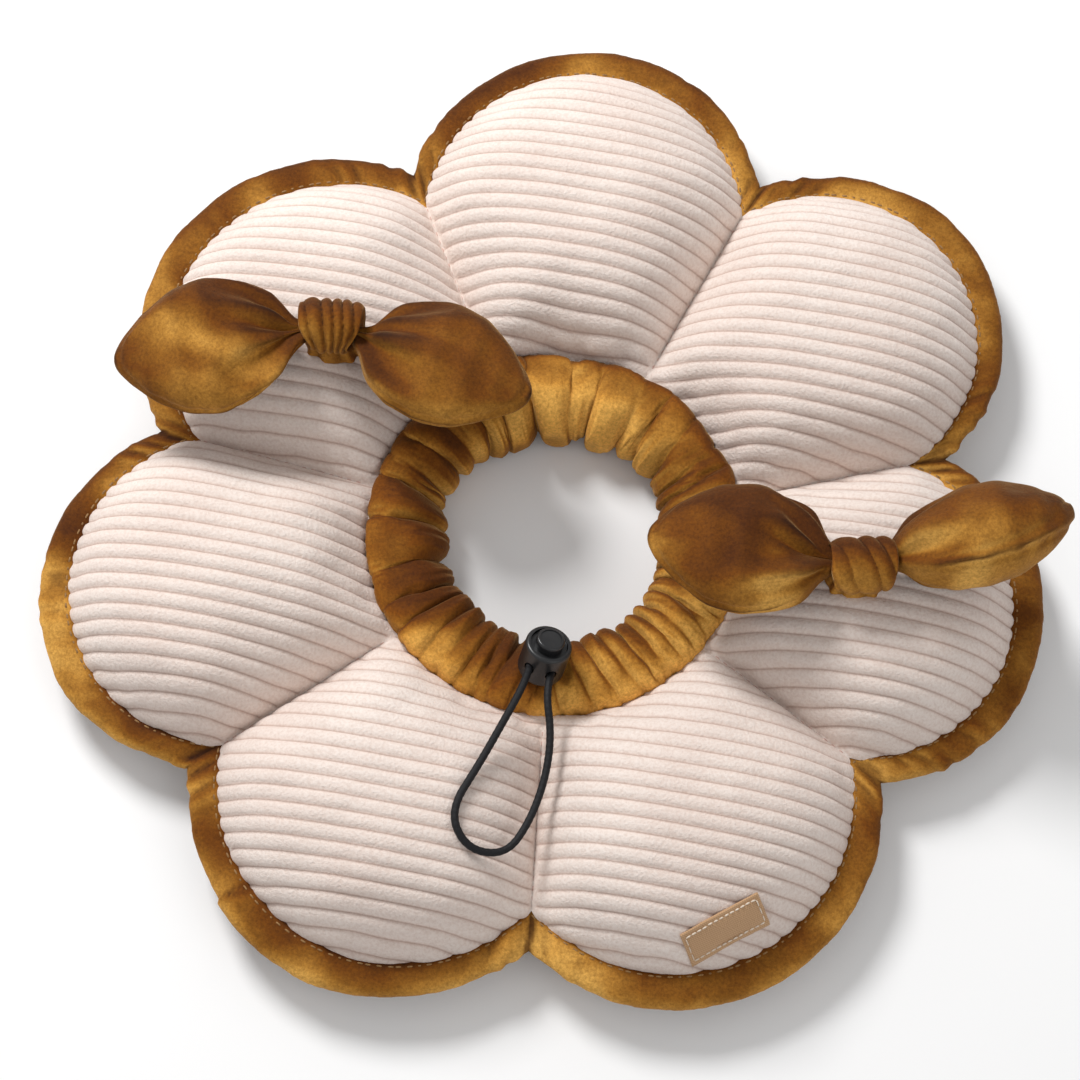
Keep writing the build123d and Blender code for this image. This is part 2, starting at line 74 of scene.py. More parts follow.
WALE_PITCH = 0.0050
WALE_HEIGHT = 0.0009
WALE_ANGLE = math.radians(-7.0)
PETAL_RISE = 0.027  # crown above the seams


def polar(reach, angle):
    a = math.radians(angle)
    return np.array((reach * math.cos(a), reach * math.sin(a), 0.0))


def following(index):
    """The index of the seam after a petal, and its angle, which goes on past 360 degrees."""
    after = (index + 1) % PETALS
    return after, SEAM_ANGLES[after] + (360.0 if after == 0 else 0.0)


def arc_through(start, middle, end, step):
    """Points about step apart along the arc through three points, without its last point."""
    ax, ay = start[0] - end[0], start[1] - end[1]
    bx, by = middle[0] - end[0], middle[1] - end[1]
    turn = 2 * (ax * by - ay * bx)
    a2, b2 = ax * ax + ay * ay, bx * bx + by * by
    centre = np.array((end[0] + (by * a2 - ay * b2) / turn, end[1] + (ax * b2 - bx * a2) / turn))
    radius = math.hypot(start[0] - centre[0], start[1] - centre[1])
    first = math.atan2(start[1] - centre[1], start[0] - centre[0])
    last = math.atan2(end[1] - centre[1], end[0] - centre[0])
    while last < first:
        last += 2 * math.pi
    count = max(4, round(radius * (last - first) / step))
    angles = first + (last - first) * np.arange(count) / count
    return np.stack((centre[0] + radius * np.cos(angles), centre[1] + radius * np.sin(angles)), 1)


def lobe(index, tip_inset, cusp_inset, step):
    """A petal's edge from one cusp to the next, moved in by the insets at its tip and its cusps."""
    after, after_angle = following(index)
    start = polar(CUSP_REACH[index] - cusp_inset, SEAM_ANGLES[index])
    tip = polar(TIP_REACH[index] - tip_inset, (SEAM_ANGLES[index] + after_angle) / 2)
    end = polar(CUSP_REACH[after] - cusp_inset, after_angle)
    return arc_through(start, tip, end, step)


def outline(tip_inset, cusp_inset, step):
    return np.concatenate([lobe(index, tip_inset, cusp_inset, step) for index in range(PETALS)])


def petal_of(points):
    """Index of the petal that each point lies in."""
    angle = np.degrees(np.arctan2(points[:, 1], points[:, 0]))
    angle = np.where(angle < SEAM_ANGLES[0], angle + 360.0, angle)
    return np.searchsorted(np.array(SEAM_ANGLES), angle, side="right") - 1


def seam_distance(points):
    """Distance of each point from the nearest of the seams between petals."""
    best = np.full(len(points), 1.0)
    for angle in SEAM_ANGLES:
        along = polar(1.0, angle)
        ahead = points[:, 0] * along[0] + points[:, 1] * along[1] > 0
        side = np.abs(points[:, 0] * along[1] - points[:, 1] * along[0])
        best = np.where(ahead & (side < best), side, best)
    return best


# ---- Value noise, the same on every run ----


def lattice(ix, iy, iz, seed):
    """A pseudo-random number from 0 to 1 for each whole-number point."""
    n = ix * 374761393 + iy * 668265263 + iz * 2147483647 + seed * 974634777
    n = (n ^ (n >> 13)) * 1274126177
    n = n ^ (n >> 16)
    return (n & 0xFFFF) / 65535.0


def noise(points, size, seed=0):
    """Smooth noise from -1 to 1 with features of about that size."""
    p = np.asarray(points, float) / size + 1000.0
    base = np.floor(p).astype(np.int64)
    f = p - base
    f = f * f * (3 - 2 * f)
    total = np.zeros(len(p))
    for corner in np.ndindex(2, 2, 2):
        weight = np.prod(np.where(corner, f, 1 - f), axis=1)
        total += weight * lattice(*(base + corner).T, seed)
    return 2 * total - 1


def noise_at(x, y, z, size, seed):
    """Noise at points given by their separate coordinates, some of which may be one number."""
    return noise(np.column_stack(np.broadcast_arrays(x, y, z)), size, seed)


def smooth_step(value, low, high):
    t = np.clip((value - low) / (high - low), 0, 1)
    return t * t * (3 - 2 * t)


# ---- Meshes ----


def mesh_object(name, points, faces, attributes=None):
    mesh = bpy.data.meshes.new(name)
    mesh.from_pydata([tuple(p) for p in points], [], [tuple(int(i) for i in face) for face in faces])
    for key, values in (attributes or {}).items():
        mesh.attributes.new(key, "FLOAT", "POINT").data.foreach_set("value", np.asarray(values, np.float32))
    mesh.shade_smooth()
    mesh.update()
    obj = bpy.data.objects.new(name, mesh)
    scene.collection.objects.link(obj)
    return obj


def vertex_normals(points, triangles):
    a, b, c = (points[triangles[:, i]] for i in range(3))
    facing = np.cross(b - a, c - a)
    normals = np.zeros_like(points)
    for i in range(3):
        for axis in range(3):
            normals[:, axis] += np.bincount(triangles[:, i], facing[:, axis], len(points))
    return normals / np.maximum(np.linalg.norm(normals, axis=1, keepdims=True), 1e-12)


def edges_of(triangles):
    pairs = np.concatenate((triangles[:, (0, 1)], triangles[:, (1, 2)], triangles[:, (2, 0)]))
    return np.unique(np.sort(pairs, 1), axis=0)


def face_edges(faces):
    """The pairs of points that an edge joins, in faces with any number of corners."""
    sides = np.array([(face[k - 1], face[k]) for face in faces for k in range(len(face))])
    return np.unique(np.sort(sides, 1), axis=0)


def tube_faces(rings, around):
    """The faces between the rings of points of a tube, where around points make a ring."""
    faces = []
    for i in range(rings - 1):
        for j in range(around):
            a, b = i * around + j, i * around + (j + 1) % around
            faces.append((a, b, b + around, a + around))
    return faces


def facing_out(points, faces, centre):
    """The faces turned so that they face away from the centre of each point, and the points' normals."""
    triangles = np.array([face[:3] for face in faces] + [(f[0], f[2], f[3]) for f in faces if len(f) == 4])
    normals = vertex_normals(points, triangles)
    if ((points - centre) * normals).sum() < 0:
        return [face[::-1] for face in faces], -normals
    return faces, normals


def stations_between(line):
    """How far along a line of points each one is."""
    return np.concatenate(([0.0], np.cumsum(np.linalg.norm(np.diff(line, axis=0), axis=1))))


def place_points(obj, points):
    obj.data.vertices.foreach_set("co", points.astype(np.float32).ravel())


def tree_of(points, faces):
    """A tree of faces, to find where a line meets them."""
    return BVHTree.FromPolygons([tuple(p) for p in points], [tuple(map(int, face)) for face in faces])


def relax(points, edges, fixed, rounds, share=0.5):
    """Moves each point towards the mean of its neighbours, apart from the fixed ones."""
    count = np.bincount(edges.ravel(), minlength=len(points)).astype(float)
    free = ~fixed
    for _ in range(rounds):
        mean = np.zeros_like(points)
        for axis in range(3):
            mean[:, axis] = np.bincount(edges[:, 0], points[edges[:, 1], axis], len(points))
            mean[:, axis] += np.bincount(edges[:, 1], points[edges[:, 0], axis], len(points))
        mean /= count[:, None]
        points[free] += share * (mean[free] - points[free])
    return points


def triangulate(outer, inner, spacing, row, turn):
    """Triangles that fill the flower between its outline and its neck circle, split along the seams.

    The free points lie in rows: row apart across the wales and spacing apart along them. Returns
    the flat points, the triangles, and which points are on an edge or a seam.
    """
    points, edges = [], []

    def chain(line, closed):
        first = len(points)
        points.extend(line.tolist())
        last = len(points) - 1
        edges.extend((i, i + 1) for i in range(first, last))
        if closed:
            edges.append((last, first))

    chain(outer, True)
    chain(inner, True)
    step = np.linalg.norm(outer[1] - outer[0])
    for angle, cusp in zip(SEAM_ANGLES, CUSP_REACH):
        reach = cusp - BINDING_WIDTH_AT_CUSP
        count = max(2, round((reach - NECK_SEAM_RADIUS) / step))
        along = polar(1.0, angle)[:2]
        chain(np.linspace(NECK_SEAM_RADIUS + 0.2 * MM, reach - 0.2 * MM, count)[:, None] * along, False)
    border = np.array(points)
    extent = 190 * MM
    grid = np.stack(np.meshgrid(np.arange(-extent, extent, spacing), np.arange(-extent, extent, row)), -1)
    grid[1::2, :, 0] += spacing / 2
    grid = grid.reshape(-1, 2)
    along = np.array((math.cos(turn), math.sin(turn)))
    across = np.array((-along[1], along[0]))
    grid = grid[:, :1] * along + grid[:, 1:] * across
    reach = np.linalg.norm(grid, axis=1)
    angles = np.degrees(np.arctan2(grid[:, 1], grid[:, 0]))
    outer_angles = np.degrees(np.arctan2(outer[:, 1], outer[:, 0]))
    limit = np.interp(angles, outer_angles, np.linalg.norm(outer, axis=1), period=360.0)
    margin = 0.45 * min(row, spacing)
    keep = (reach < limit - margin) & (reach > NECK_SEAM_RADIUS + margin) & (seam_distance(grid) > margin)
    points.extend(grid[keep].tolist())
    flat, _, faces, _, _, _ = delaunay_2d_cdt([Vector(p) for p in points], edges, [], 1, 1e-7)
    flat = np.array([tuple(p) for p in flat])
    triangles = np.array([face for face in faces if len(face) == 3])
    middle = flat[triangles].mean(1)
    triangles = triangles[np.linalg.norm(middle, axis=1) > NECK_SEAM_RADIUS * 0.999]
    fixed = np.zeros(len(flat), bool)
    fixed[: len(border)] = True
    return flat, triangles, fixed


def run_cloth(obj, frames, pressure, grow, stiffness=15.0, bending=0.5, rest=None):
    """Runs Blender's cloth on obj, with its group 'pin' held, and returns the final points.

    Its cloth grows by the share grow, less where its group 'grow' is weak, or towards the shape rest.
    """
    cloth = obj.modifiers.new("cloth", "CLOTH")
    settings = cloth.settings
    settings.quality = 5
    settings.mass = 0.3
    settings.air_damping = 2.0
    settings.tension_stiffness = settings.compression_stiffness = stiffness
    settings.shear_stiffness = stiffness / 3
    settings.bending_stiffness = bending
    settings.tension_damping = settings.compression_damping = settings.shear_damping = 10.0
    settings.vertex_group_mass = "pin"
    settings.pin_stiffness = 1.0
    settings.effector_weights.gravity = 0.0
    settings.use_pressure = True
    settings.uniform_pressure_force = pressure
    if "grow" in obj.vertex_groups:
        settings.vertex_group_shrink = "grow"
        settings.shrink_min = 0.0
        settings.shrink_max = -grow
    else:
        settings.shrink_min = -grow
    if rest is not None:
        obj.shape_key_add(name="Basis")
        key = obj.shape_key_add(name="rest")
        key.data.foreach_set("co", rest.astype(np.float32).ravel())
        key.value = 0.0
        settings.rest_shape_key = key
    cloth.collision_settings.use_collision = cloth.collision_settings.use_self_collision = False
    cloth.point_cache.frame_start = scene.frame_start = 1
    cloth.point_cache.frame_end = scene.frame_end = frames
    for number in range(1, frames + 1):
        scene.frame_set(number)
    graph = bpy.context.evaluated_depsgraph_get()
    mesh = obj.evaluated_get(graph).to_mesh()
    result = np.empty(len(mesh.vertices) * 3)
    mesh.vertices.foreach_get("co", result)
    obj.evaluated_get(graph).to_mesh_clear()
    obj.modifiers.remove(cloth)
    scene.frame_set(1)
    return result.reshape(-1, 3)


def weight_group(obj, name, weights):
    """Adds a vertex group with a weight for each point."""
    group = obj.vertex_groups.new(name=name)
    for index, weight in enumerate(weights):
        if weight > 0.001:
            group.add([index], float(weight), "REPLACE")


def refine(obj, levels):
    """Replaces obj's mesh with its smoothly subdivided one."""
    subdivide = obj.modifiers.new("subdivide", "SUBSURF")
    subdivide.levels = levels
    graph = bpy.context.evaluated_depsgraph_get()
    mesh = bpy.data.meshes.new_from_object(obj.evaluated_get(graph))
    obj.modifiers.clear()
    obj.data = mesh
    mesh.shade_smooth()


# ---- Materials ----


class Recipe:
    """The nodes of one material. Every input is fed by another node's socket or by a value."""

    def __init__(self, name):
        self.material = bpy.data.materials.new(name)
        self.material.use_nodes = True
        self.tree = self.material.node_tree

    def feed(self, socket, source):
        if isinstance(source, bpy.types.NodeSocket):
            self.tree.links.new(source, socket)
        else:
            socket.default_value = source

    def node(self, kind, inputs=(), **settings):
        made = self.tree.nodes.new(kind)
        for key, value in settings.items():
            setattr(made, key, value)
        for key, source in dict(inputs).items():
            self.feed(made.inputs[key], source)
        return made

    def attribute(self, name):
        return self.node("ShaderNodeAttribute", attribute_name=name).outputs["Fac"]

    def place(self, output):
        return self.node("ShaderNodeTexCoord").outputs[output]

    def texture(self, scale, detail, roughness=0.5, distortion=0.0):
        """Noise fixed to the object, with scale features in a metre."""
        inputs = {"Vector": self.place("Object"), "Scale": scale, "Detail": detail,
                  "Roughness": roughness, "Distortion": distortion}
        return self.node("ShaderNodeTexNoise", inputs).outputs["Fac"]

    def ramp(self, source, *stops):
        """The colour for a value, between stops of a position and its red, green and blue."""
        made = self.node("ShaderNodeValToRGB", {"Fac": source})
        elements = made.color_ramp.elements
        while len(elements) < len(stops):
            elements.new(0.5)
        for element, (position, *colour) in zip(elements, stops):
            element.position = position
            element.color = (*colour, 1.0)
        return made.outputs["Color"]

    def product(self, first, second):
        inputs = {"Factor": 1.0, "A": first, "B": second}
        return self.node("ShaderNodeMix", inputs, data_type="RGBA", blend_type="MULTIPLY").outputs["Result"]

    def arithmetic(self, operation, *values):
        return self.node("ShaderNodeMath", enumerate(values), operation=operation).outputs[0]

    def bump(self, height, strength, distance, under=None):
        inputs = {"Height": height, "Strength": strength, "Distance": distance}
        if under is not None:
            inputs["Normal"] = under
        return self.node("ShaderNodeBump", inputs).outputs["Normal"]

    def surface(self, **inputs):
        """Feeds the shader; an underscore stands for a space in the name of its input."""
        shader = self.tree.nodes["Principled BSDF"]
        for key, source in inputs.items():
            self.feed(shader.inputs[key.replace("_", " ")], source)


def material(name, build):
    recipe = Recipe(name)
    build(recipe)
    return recipe.material


def grey(position, level):
    return position, level, level, level


def corduroy(m):
    """Blush corduroy: pale ribs with painted shade in the grooves between them, and a short pile that mottles
    both.
    """
    # painted shade: the pink darkens towards the groove between two ribs and is lightest on the rib tops
    rib_pink_and_groove_shade = m.ramp(m.attribute("wale"), (0.0, 0.54, 0.405, 0.345), (0.2, 0.72, 0.59, 0.525),
                  (0.5, 0.815, 0.71, 0.645), (1.0, 0.83, 0.735, 0.675))
    clumps = m.texture(950.0, 3.0, 0.6)
    speckle = m.ramp(clumps, (0.34, 0.90, 0.86, 0.84), grey(0.60, 1.0))
    shading = m.ramp(m.texture(26.0, 3.0), (0.3, 0.93, 0.90, 0.89), grey(0.7, 1.0))
    pile = m.bump(m.texture(1300.0, 3.0, 0.7), 0.35, 0.0006)
    m.surface(
        Base_Color=m.product(m.product(rib_pink_and_groove_shade, speckle), shading),
        Normal=m.bump(clumps, 0.6, 0.0007, pile),
        Roughness=0.95,
        Specular_IOR_Level=0.15,
        Sheen_Weight=0.25,
        Sheen_Roughness=0.5,
        Sheen_Tint=(1.0, 0.93, 0.90, 1.0),
    )


def velvet(m):
    """Golden-brown velvet: its pile leans in patches of lighter or darker tone, a painted sheen lightens the
    faces turned towards the front, and painted shade darkens its creases while a painted highlight lightens
    its crests.
    """
    # painted sheen: faces turned towards the front (-Y) are painted lighter gold, faces turned away darker
    # brown, added to random patches of pile tone
    facing = m.node("ShaderNodeVectorMath", {0: m.place("Normal"), 1: (-0.12, -0.85, 0.35)},
                    operation="DOT_PRODUCT")
    painted_sheen = m.arithmetic("MULTIPLY", facing.outputs["Value"], 0.32)
    pile_patches_and_painted_sheen = m.arithmetic("ADD", m.texture(26.0, 2.0, 0.45, 0.4), painted_sheen)
    lean = m.ramp(pile_patches_and_painted_sheen, (0.42, 0.078, 0.020, 0.0006), (0.56, 0.158, 0.048, 0.002),
                  (0.66, 0.255, 0.100, 0.010), (0.75, 0.450, 0.212, 0.034), (0.87, 0.680, 0.370, 0.082))
    # painted shade in the creases and painted highlight on the crests, from the crease attribute
    depth = m.ramp(m.attribute("crease"), (0.0, 1.25, 1.22, 1.15), grey(0.42, 1.0), grey(0.58, 1.0),
                   (1.0, 0.22, 0.17, 0.13))
    strands = m.texture(900.0, 4.0, 0.75)
    speckle = m.ramp(strands, (0.30, 0.62, 0.58, 0.52), grey(0.66, 1.18))
    m.surface(
        Base_Color=m.product(m.product(lean, speckle), depth),
        Normal=m.bump(strands, 0.45, 0.0005),
        Roughness=0.85,
        Specular_IOR_Level=0.2,
        Sheen_Weight=0.42,
        Sheen_Roughness=0.35,
        Sheen_Tint=(1.0, 0.62, 0.24, 1.0),
    )


def black_plastic(m):
    """Satin moulded plastic with a fine spark-eroded grain and faint handling marks."""
    marks = m.texture(160.0, 5.0)
    m.surface(
        Base_Color=m.ramp(marks, (0.3, 0.010, 0.010, 0.011), (0.8, 0.018, 0.018, 0.019)),
        Normal=m.bump(m.texture(2200.0, 2.0), 0.12, 0.0002),
        Roughness=m.ramp(marks, grey(0.35, 0.28), grey(0.7, 0.42)),
    )


def elastic(m):
    """Black braided elastic: the braid is in the mesh, and this adds its yarn."""
    yarn = m.texture(2600.0, 2.0)
    m.surface(
        Base_Color=m.ramp(yarn, (0.3, 0.003, 0.003, 0.004), (0.75, 0.012, 0.012, 0.014)),
        Normal=m.bump(yarn, 0.3, 0.0002),
        Roughness=0.65,
        Specular_IOR_Level=0.3,
    )


def thread(low, high):
    """What makes a twisted sewing thread that is mottled between two colours."""
    def build(m):
        twist = m.texture(1800.0, 2.0)
        colour = m.ramp(twist, (0.3, *low), (0.7, *high))
        m.surface(Base_Color=colour, Normal=m.bump(twist, 0.4, 0.0002), Roughness=0.7)
    return build


YARN_TURN = 2 * math.pi / 0.0007  # a tape's yarns cross every 0.7 mm


def label_tape(m):
    """Tan woven tape: a fine plain weave, with painted highlight where the yarns stand up and painted shade
    between them.
    """
    turns = [m.arithmetic("MULTIPLY", m.attribute(name), YARN_TURN) for name in ("tape_u", "tape_v")]
    waves = [m.arithmetic("SINE", turn) for turn in turns]
    weave = m.arithmetic("MULTIPLY_ADD", m.arithmetic("MULTIPLY", *waves), 0.5, 0.5)
    m.surface(
        # painted highlight on the raised yarns and painted shade in the hollows between them
        Base_Color=m.ramp(weave, (0.2, 0.42, 0.235, 0.115), (0.8, 0.58, 0.365, 0.20)),
        Normal=m.bump(weave, 0.4, 0.0002),
        Roughness=0.8,
        Sheen_Weight=0.1,
    )


def spring_steel(m):
    """Bright drawn wire with faint lengthwise wear."""
    rough = m.ramp(m.texture(900.0, 3.0), grey(0.3, 0.22), grey(0.7, 0.38))
    m.surface(Base_Color=(0.55, 0.55, 0.57, 1.0), Metallic=1.0, Roughness=rough)


CORDUROY = material("blush_corduroy", corduroy)
VELVET = material("brown_velvet", velvet)
BLACK_PLASTIC = material("black_plastic", black_plastic)
ELASTIC = material("black_elastic", elastic)
PINK_THREAD = material("pink_thread", thread((0.50, 0.30, 0.25), (0.66, 0.44, 0.38)))
GOLD_THREAD = material("gold_thread", thread((0.20, 0.10, 0.03), (0.36, 0.20, 0.07)))
CREAM_THREAD = material("cream_thread", thread((0.66, 0.54, 0.42), (0.84, 0.74, 0.62)))
LABEL_TAPE = material("label_tape", label_tape)
SPRING_STEEL = material("spring_steel", spring_steel)


def mark_creases(obj, rounds, full_depth, darker):
    """Records how deep in a crease each point lies: 0 on a crest, 0.5 on the flat and 1 in a crease; the
    velvet paints shade into the creases and a highlight onto the crests from it.
    """
    points = np.array([v.co for v in obj.data.vertices])
    corners = [tuple(p.vertices) for p in obj.data.polygons]
    triangles = np.array([c[:3] for c in corners] + [(c[0], c[2], c[3]) for c in corners if len(c) == 4])
    smooth = relax(points.copy(), face_edges(corners), np.zeros(len(points), bool), rounds, 0.7)
    depth = ((smooth - points) * vertex_normals(points, triangles)).sum(1)
    value = np.clip(0.5 + darker + 0.5 * np.clip(depth / full_depth, -1, 1), 0, 1)
    obj.data.attributes.new("crease", "FLOAT", "POINT").data.foreach_set("value", value.astype(np.float32))


def finished(obj, mat, body="collar", crease_rounds=10, crease_depth=0.55 * MM, darker=0.0):
    """Gives obj its material, slot and body, and a velvet piece the marks of its creases, from which its
    material paints shade into the creases and a highlight onto the crests.
    """
    obj.data.materials.clear()
    obj.data.materials.append(mat)
    if mat == VELVET:
        mark_creases(obj, crease_rounds, crease_depth, darker)
    if body:
        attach(obj, body)
    return obj


# ---- Corduroy covers ----


COVER_INSETS = (BINDING_WIDTH - 1.5 * MM, BINDING_WIDTH_AT_CUSP - 1.0 * MM)  # at a petal's tip and a cusp
SEWN_HEIGHT = SEAM_HEIGHT + 1.4 * MM
COARSE_STEP = 3.2 * MM
FINE_STEP = 1.1 * MM
PETAL_PRESSURE = 40.0
PETAL_GROWTH = 0.105
FRONT_ROWS = 7  # mesh rows in one wale
BACK_ROWS = 5
WALE_ACROSS = np.array((-math.sin(WALE_ANGLE), math.cos(WALE_ANGLE)))


def circle_line(radius, step):
    """Points about step apart round a circle on the neck axis."""
    count = round(2 * math.pi * radius / step)
    angles = 2 * math.pi * np.arange(count) / count
    return np.stack((radius * np.cos(angles), radius * np.sin(angles)), 1)


def distance_to_line(points, line):
    """Each point's distance, seen from above, from the nearest point of the line."""
    best = np.full(len(points), 1.0)
    for first in range(0, len(line), 40):
        gap = points[:, None, :2] - line[None, first:first + 40]
        best = np.minimum(best, np.sqrt((gap**2).sum(2)).min(1))
    return best


def inflate_petals():
    """The inflated front cover on a coarse mesh: flat points, triangles, which are sewn, and shape."""
    outer = outline(*COVER_INSETS, COARSE_STEP)
    neck = circle_line(NECK_SEAM_RADIUS, COARSE_STEP)
    flat, triangles, sewn = triangulate(outer, neck, 3.8 * MM, 3.3 * MM, 0.0)
    edge = np.minimum(seam_distance(flat), np.linalg.norm(flat, axis=1) - NECK_SEAM_RADIUS)
    edge = np.minimum(edge, distance_to_line(flat, outer))
    start = np.column_stack((flat, np.full(len(flat), SEWN_HEIGHT)))
    rim = np.clip(edge, 0, 46 * MM) / (46 * MM)
    start[:, 2] += PETAL_RISE * np.sqrt(1 - (1 - rim) ** 2)
    start = relax(start, edges_of(triangles), sewn, 14, 0.5)
    start[:, 2] += np.where(sewn, 0.0, 0.7 * MM * noise(start, 9 * MM, 3))
    panel = mesh_object("petal_panel", start, triangles)
    weight_group(panel, "pin", sewn.astype(float))
    weight_group(panel, "grow", 1.0 - 0.55 * smooth_step(edge, 5 * MM, 24 * MM))
    shape = run_cloth(panel, frames=30, pressure=PETAL_PRESSURE, grow=PETAL_GROWTH)
    bpy.data.objects.remove(panel)
    return flat, triangles, sewn, shape


def keep_to_own_petal(shape, flat, sewn):
    """Presses each petal's side flat where it would pass the seam plane into the next petal."""
    owner = petal_of(flat)
    gap = 0.25 * MM
    last_seams = [following(i)[1] for i in range(PETALS)]
    for seams, sign in ((SEAM_ANGLES, 1.0), (last_seams, -1.0)):
        a = np.radians(np.array(seams)[owner])
        normal = sign * np.stack((-np.sin(a), np.cos(a)), 1)
        depth = (shape[:, :2] * normal).sum(1)
        push = np.where(~sewn & (depth < gap), gap - depth, 0.0)
        shape[:, :2] += push[:, None] * normal


def turn_from(a, b):
    """The cross product of flat vectors."""
    return a[:, 0] * b[:, 1] - a[:, 1] * b[:, 0]


def corners_under(flat, flat_coarse, triangles):
    """The coarse triangle that each flat point lies in, and its share of each of the three corners."""
    tree = tree_of(np.column_stack((flat_coarse, np.zeros(len(flat_coarse)))), triangles)
    corners = triangles[np.array([tree.find_nearest((x, y, 0.0))[2] for x, y in flat])]
    a, b, c = (flat_coarse[corners[:, i]] for i in range(3))
    area = turn_from(b - a, c - a)
    u = turn_from(flat - a, c - a) / area
    v = turn_from(b - a, flat - a) / area
    shares = np.clip(np.stack((1 - u - v, u, v), 1), 0, 1)
    return corners, shares / shares.sum(1, keepdims=True)


def puckers(flat, points, rim_gap):
    """How far the gathered cloth stands out along the seams, round the neck and inside the rim.

    rim_gap is each point's distance from the cover's outer edge.
    """
    seam_gap = seam_distance(flat)
    reach = np.linalg.norm(flat, axis=1)
    neck_gap = np.maximum(reach - NECK_SEAM_RADIUS, 0)
    around = np.arctan2(flat[:, 1], flat[:, 0]) * NECK_SEAM_RADIUS
    at_seam = noise_at(reach, seam_gap * 0.35, petal_of(flat) * 60 * MM, 5.5 * MM, 51)
    height = 0.9 * MM * at_seam * np.exp(-seam_gap / (7 * MM))
    height += 1.7 * MM * noise_at(around, neck_gap * 0.35, 0.0, 5.0 * MM, 52) * np.exp(-neck_gap / (8 * MM))
    height += 0.7 * MM * noise(points, 7.0 * MM, 53) * np.exp(-rim_gap / (6 * MM))
    height += 0.9 * MM * noise(points, 24 * MM, 54)
    least_gap = np.minimum(np.minimum(seam_gap, neck_gap), rim_gap)
    return height * smooth_step(least_gap, 0.3 * MM, 3.5 * MM)


def turned_over(points):
    """The same pillow, shallower and upside down, flat where it rests on the table."""
    depth = (points[:, 2] - SEWN_HEIGHT) * 0.75
    floor = SEAM_HEIGHT - 2.4 * MM
    soft = floor * np.tanh(depth / floor)
    points = points.copy()
    points[:, 2] = SEAM_HEIGHT - 0.6 * MM - np.clip(soft, -1.0, floor)
    return points


def dense_panel(name, coarse, side, rows):
    """A fine mesh over the coarse shape, with the wales raised in it. side is 1 in front, -1 behind."""
    flat_coarse, triangles_coarse, _, shape = coarse
    row = WALE_PITCH / rows
    neck = circle_line(NECK_SEAM_RADIUS, FINE_STEP)
    flat, triangles, sewn = triangulate(outline(*COVER_INSETS, FINE_STEP), neck, 1.9 * row, row, WALE_ANGLE)
    corners, shares = corners_under(flat, flat_coarse, triangles_coarse)
    points = (shape[corners] * shares[:, :, None]).sum(1)
    points = relax(points, edges_of(triangles), sewn, 6, 0.6)
    if side < 0:
        points = turned_over(points)
    normals = vertex_normals(points, triangles)
    normals *= np.where(normals[:, 2:] < 0, -1.0, 1.0) * side
    rim_gap = distance_to_line(flat_coarse, outline(*COVER_INSETS, COARSE_STEP))
    rim_gap = (rim_gap[corners] * shares).sum(1)
    points = points + normals * puckers(flat, points, rim_gap)[:, None]
    phase = flat @ WALE_ACROSS / WALE_PITCH
    phase -= np.floor(phase)
    rib = 1 - np.abs(2 * phase - 1) ** 2.6
    fade = smooth_step(seam_distance(flat), 0.2 * MM, 2.2 * MM)
    pile = noise(points, 1.6 * MM, 7) * 0.07 * MM + noise(points, 4.5 * MM, 8) * 0.10 * MM
    lift = rib * (WALE_HEIGHT * (0.35 + 0.65 * fade) + pile)
    points = points + normals * lift[:, None]
    return mesh_object(name, points, triangles[:, ::side], {"wale": rib})


coarse_petals = inflate_petals()
coarse_flat, coarse_triangles, coarse_sewn, coarse_shape = coarse_petals
keep_to_own_petal(coarse_shape, coarse_flat, coarse_sewn)
front_cover = dense_panel("front_cover_corduroy", coarse_petals, 1, FRONT_ROWS)
back_cover = dense_panel("back_cover_corduroy", coarse_petals, -1, BACK_ROWS)
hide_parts("front_cover", *[f"petal_pad_{i + 1}" for i in range(PETALS)])
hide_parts("back_cover")
for cover in (front_cover, back_cover):
    finished(cover, CORDUROY)


# ---- Edge binding ----

BINDING_STEP = 1.3 * MM
BINDING_SIDES = 30
BINDING_LAP = 0.8 * MM  # how far the binding covers the corduroy's cut edge
BINDING_OVERLAP = np.array((-98.0, -131.0)) * MM  # where the strip's end lies over its start


def binding_edges():
    """The binding's outer and inner edge, with the same number of points in each petal's lobe."""
    counts = [len(lobe(i, 0.0, 0.0, BINDING_STEP)) for i in range(PETALS)]
    lines = []
    for insets in ((0.0, 0.0), (BINDING_WIDTH + BINDING_LAP, BINDING_WIDTH_AT_CUSP + BINDING_LAP)):
        lobes = []
        for index, count in enumerate(counts):
            after, after_angle = following(index)
            end = polar(CUSP_REACH[after] - insets[1], after_angle)[:2]
            fine = np.vstack((lobe(index, *insets, 0.2 * MM), end))
            places = np.arange(count) / count * (len(fine) - 1)
            lobes.append(np.stack([np.interp(places, np.arange(len(fine)), fine[:, i]) for i in range(2)], 1))
        lines.append(np.concatenate(lobes))
    return lines


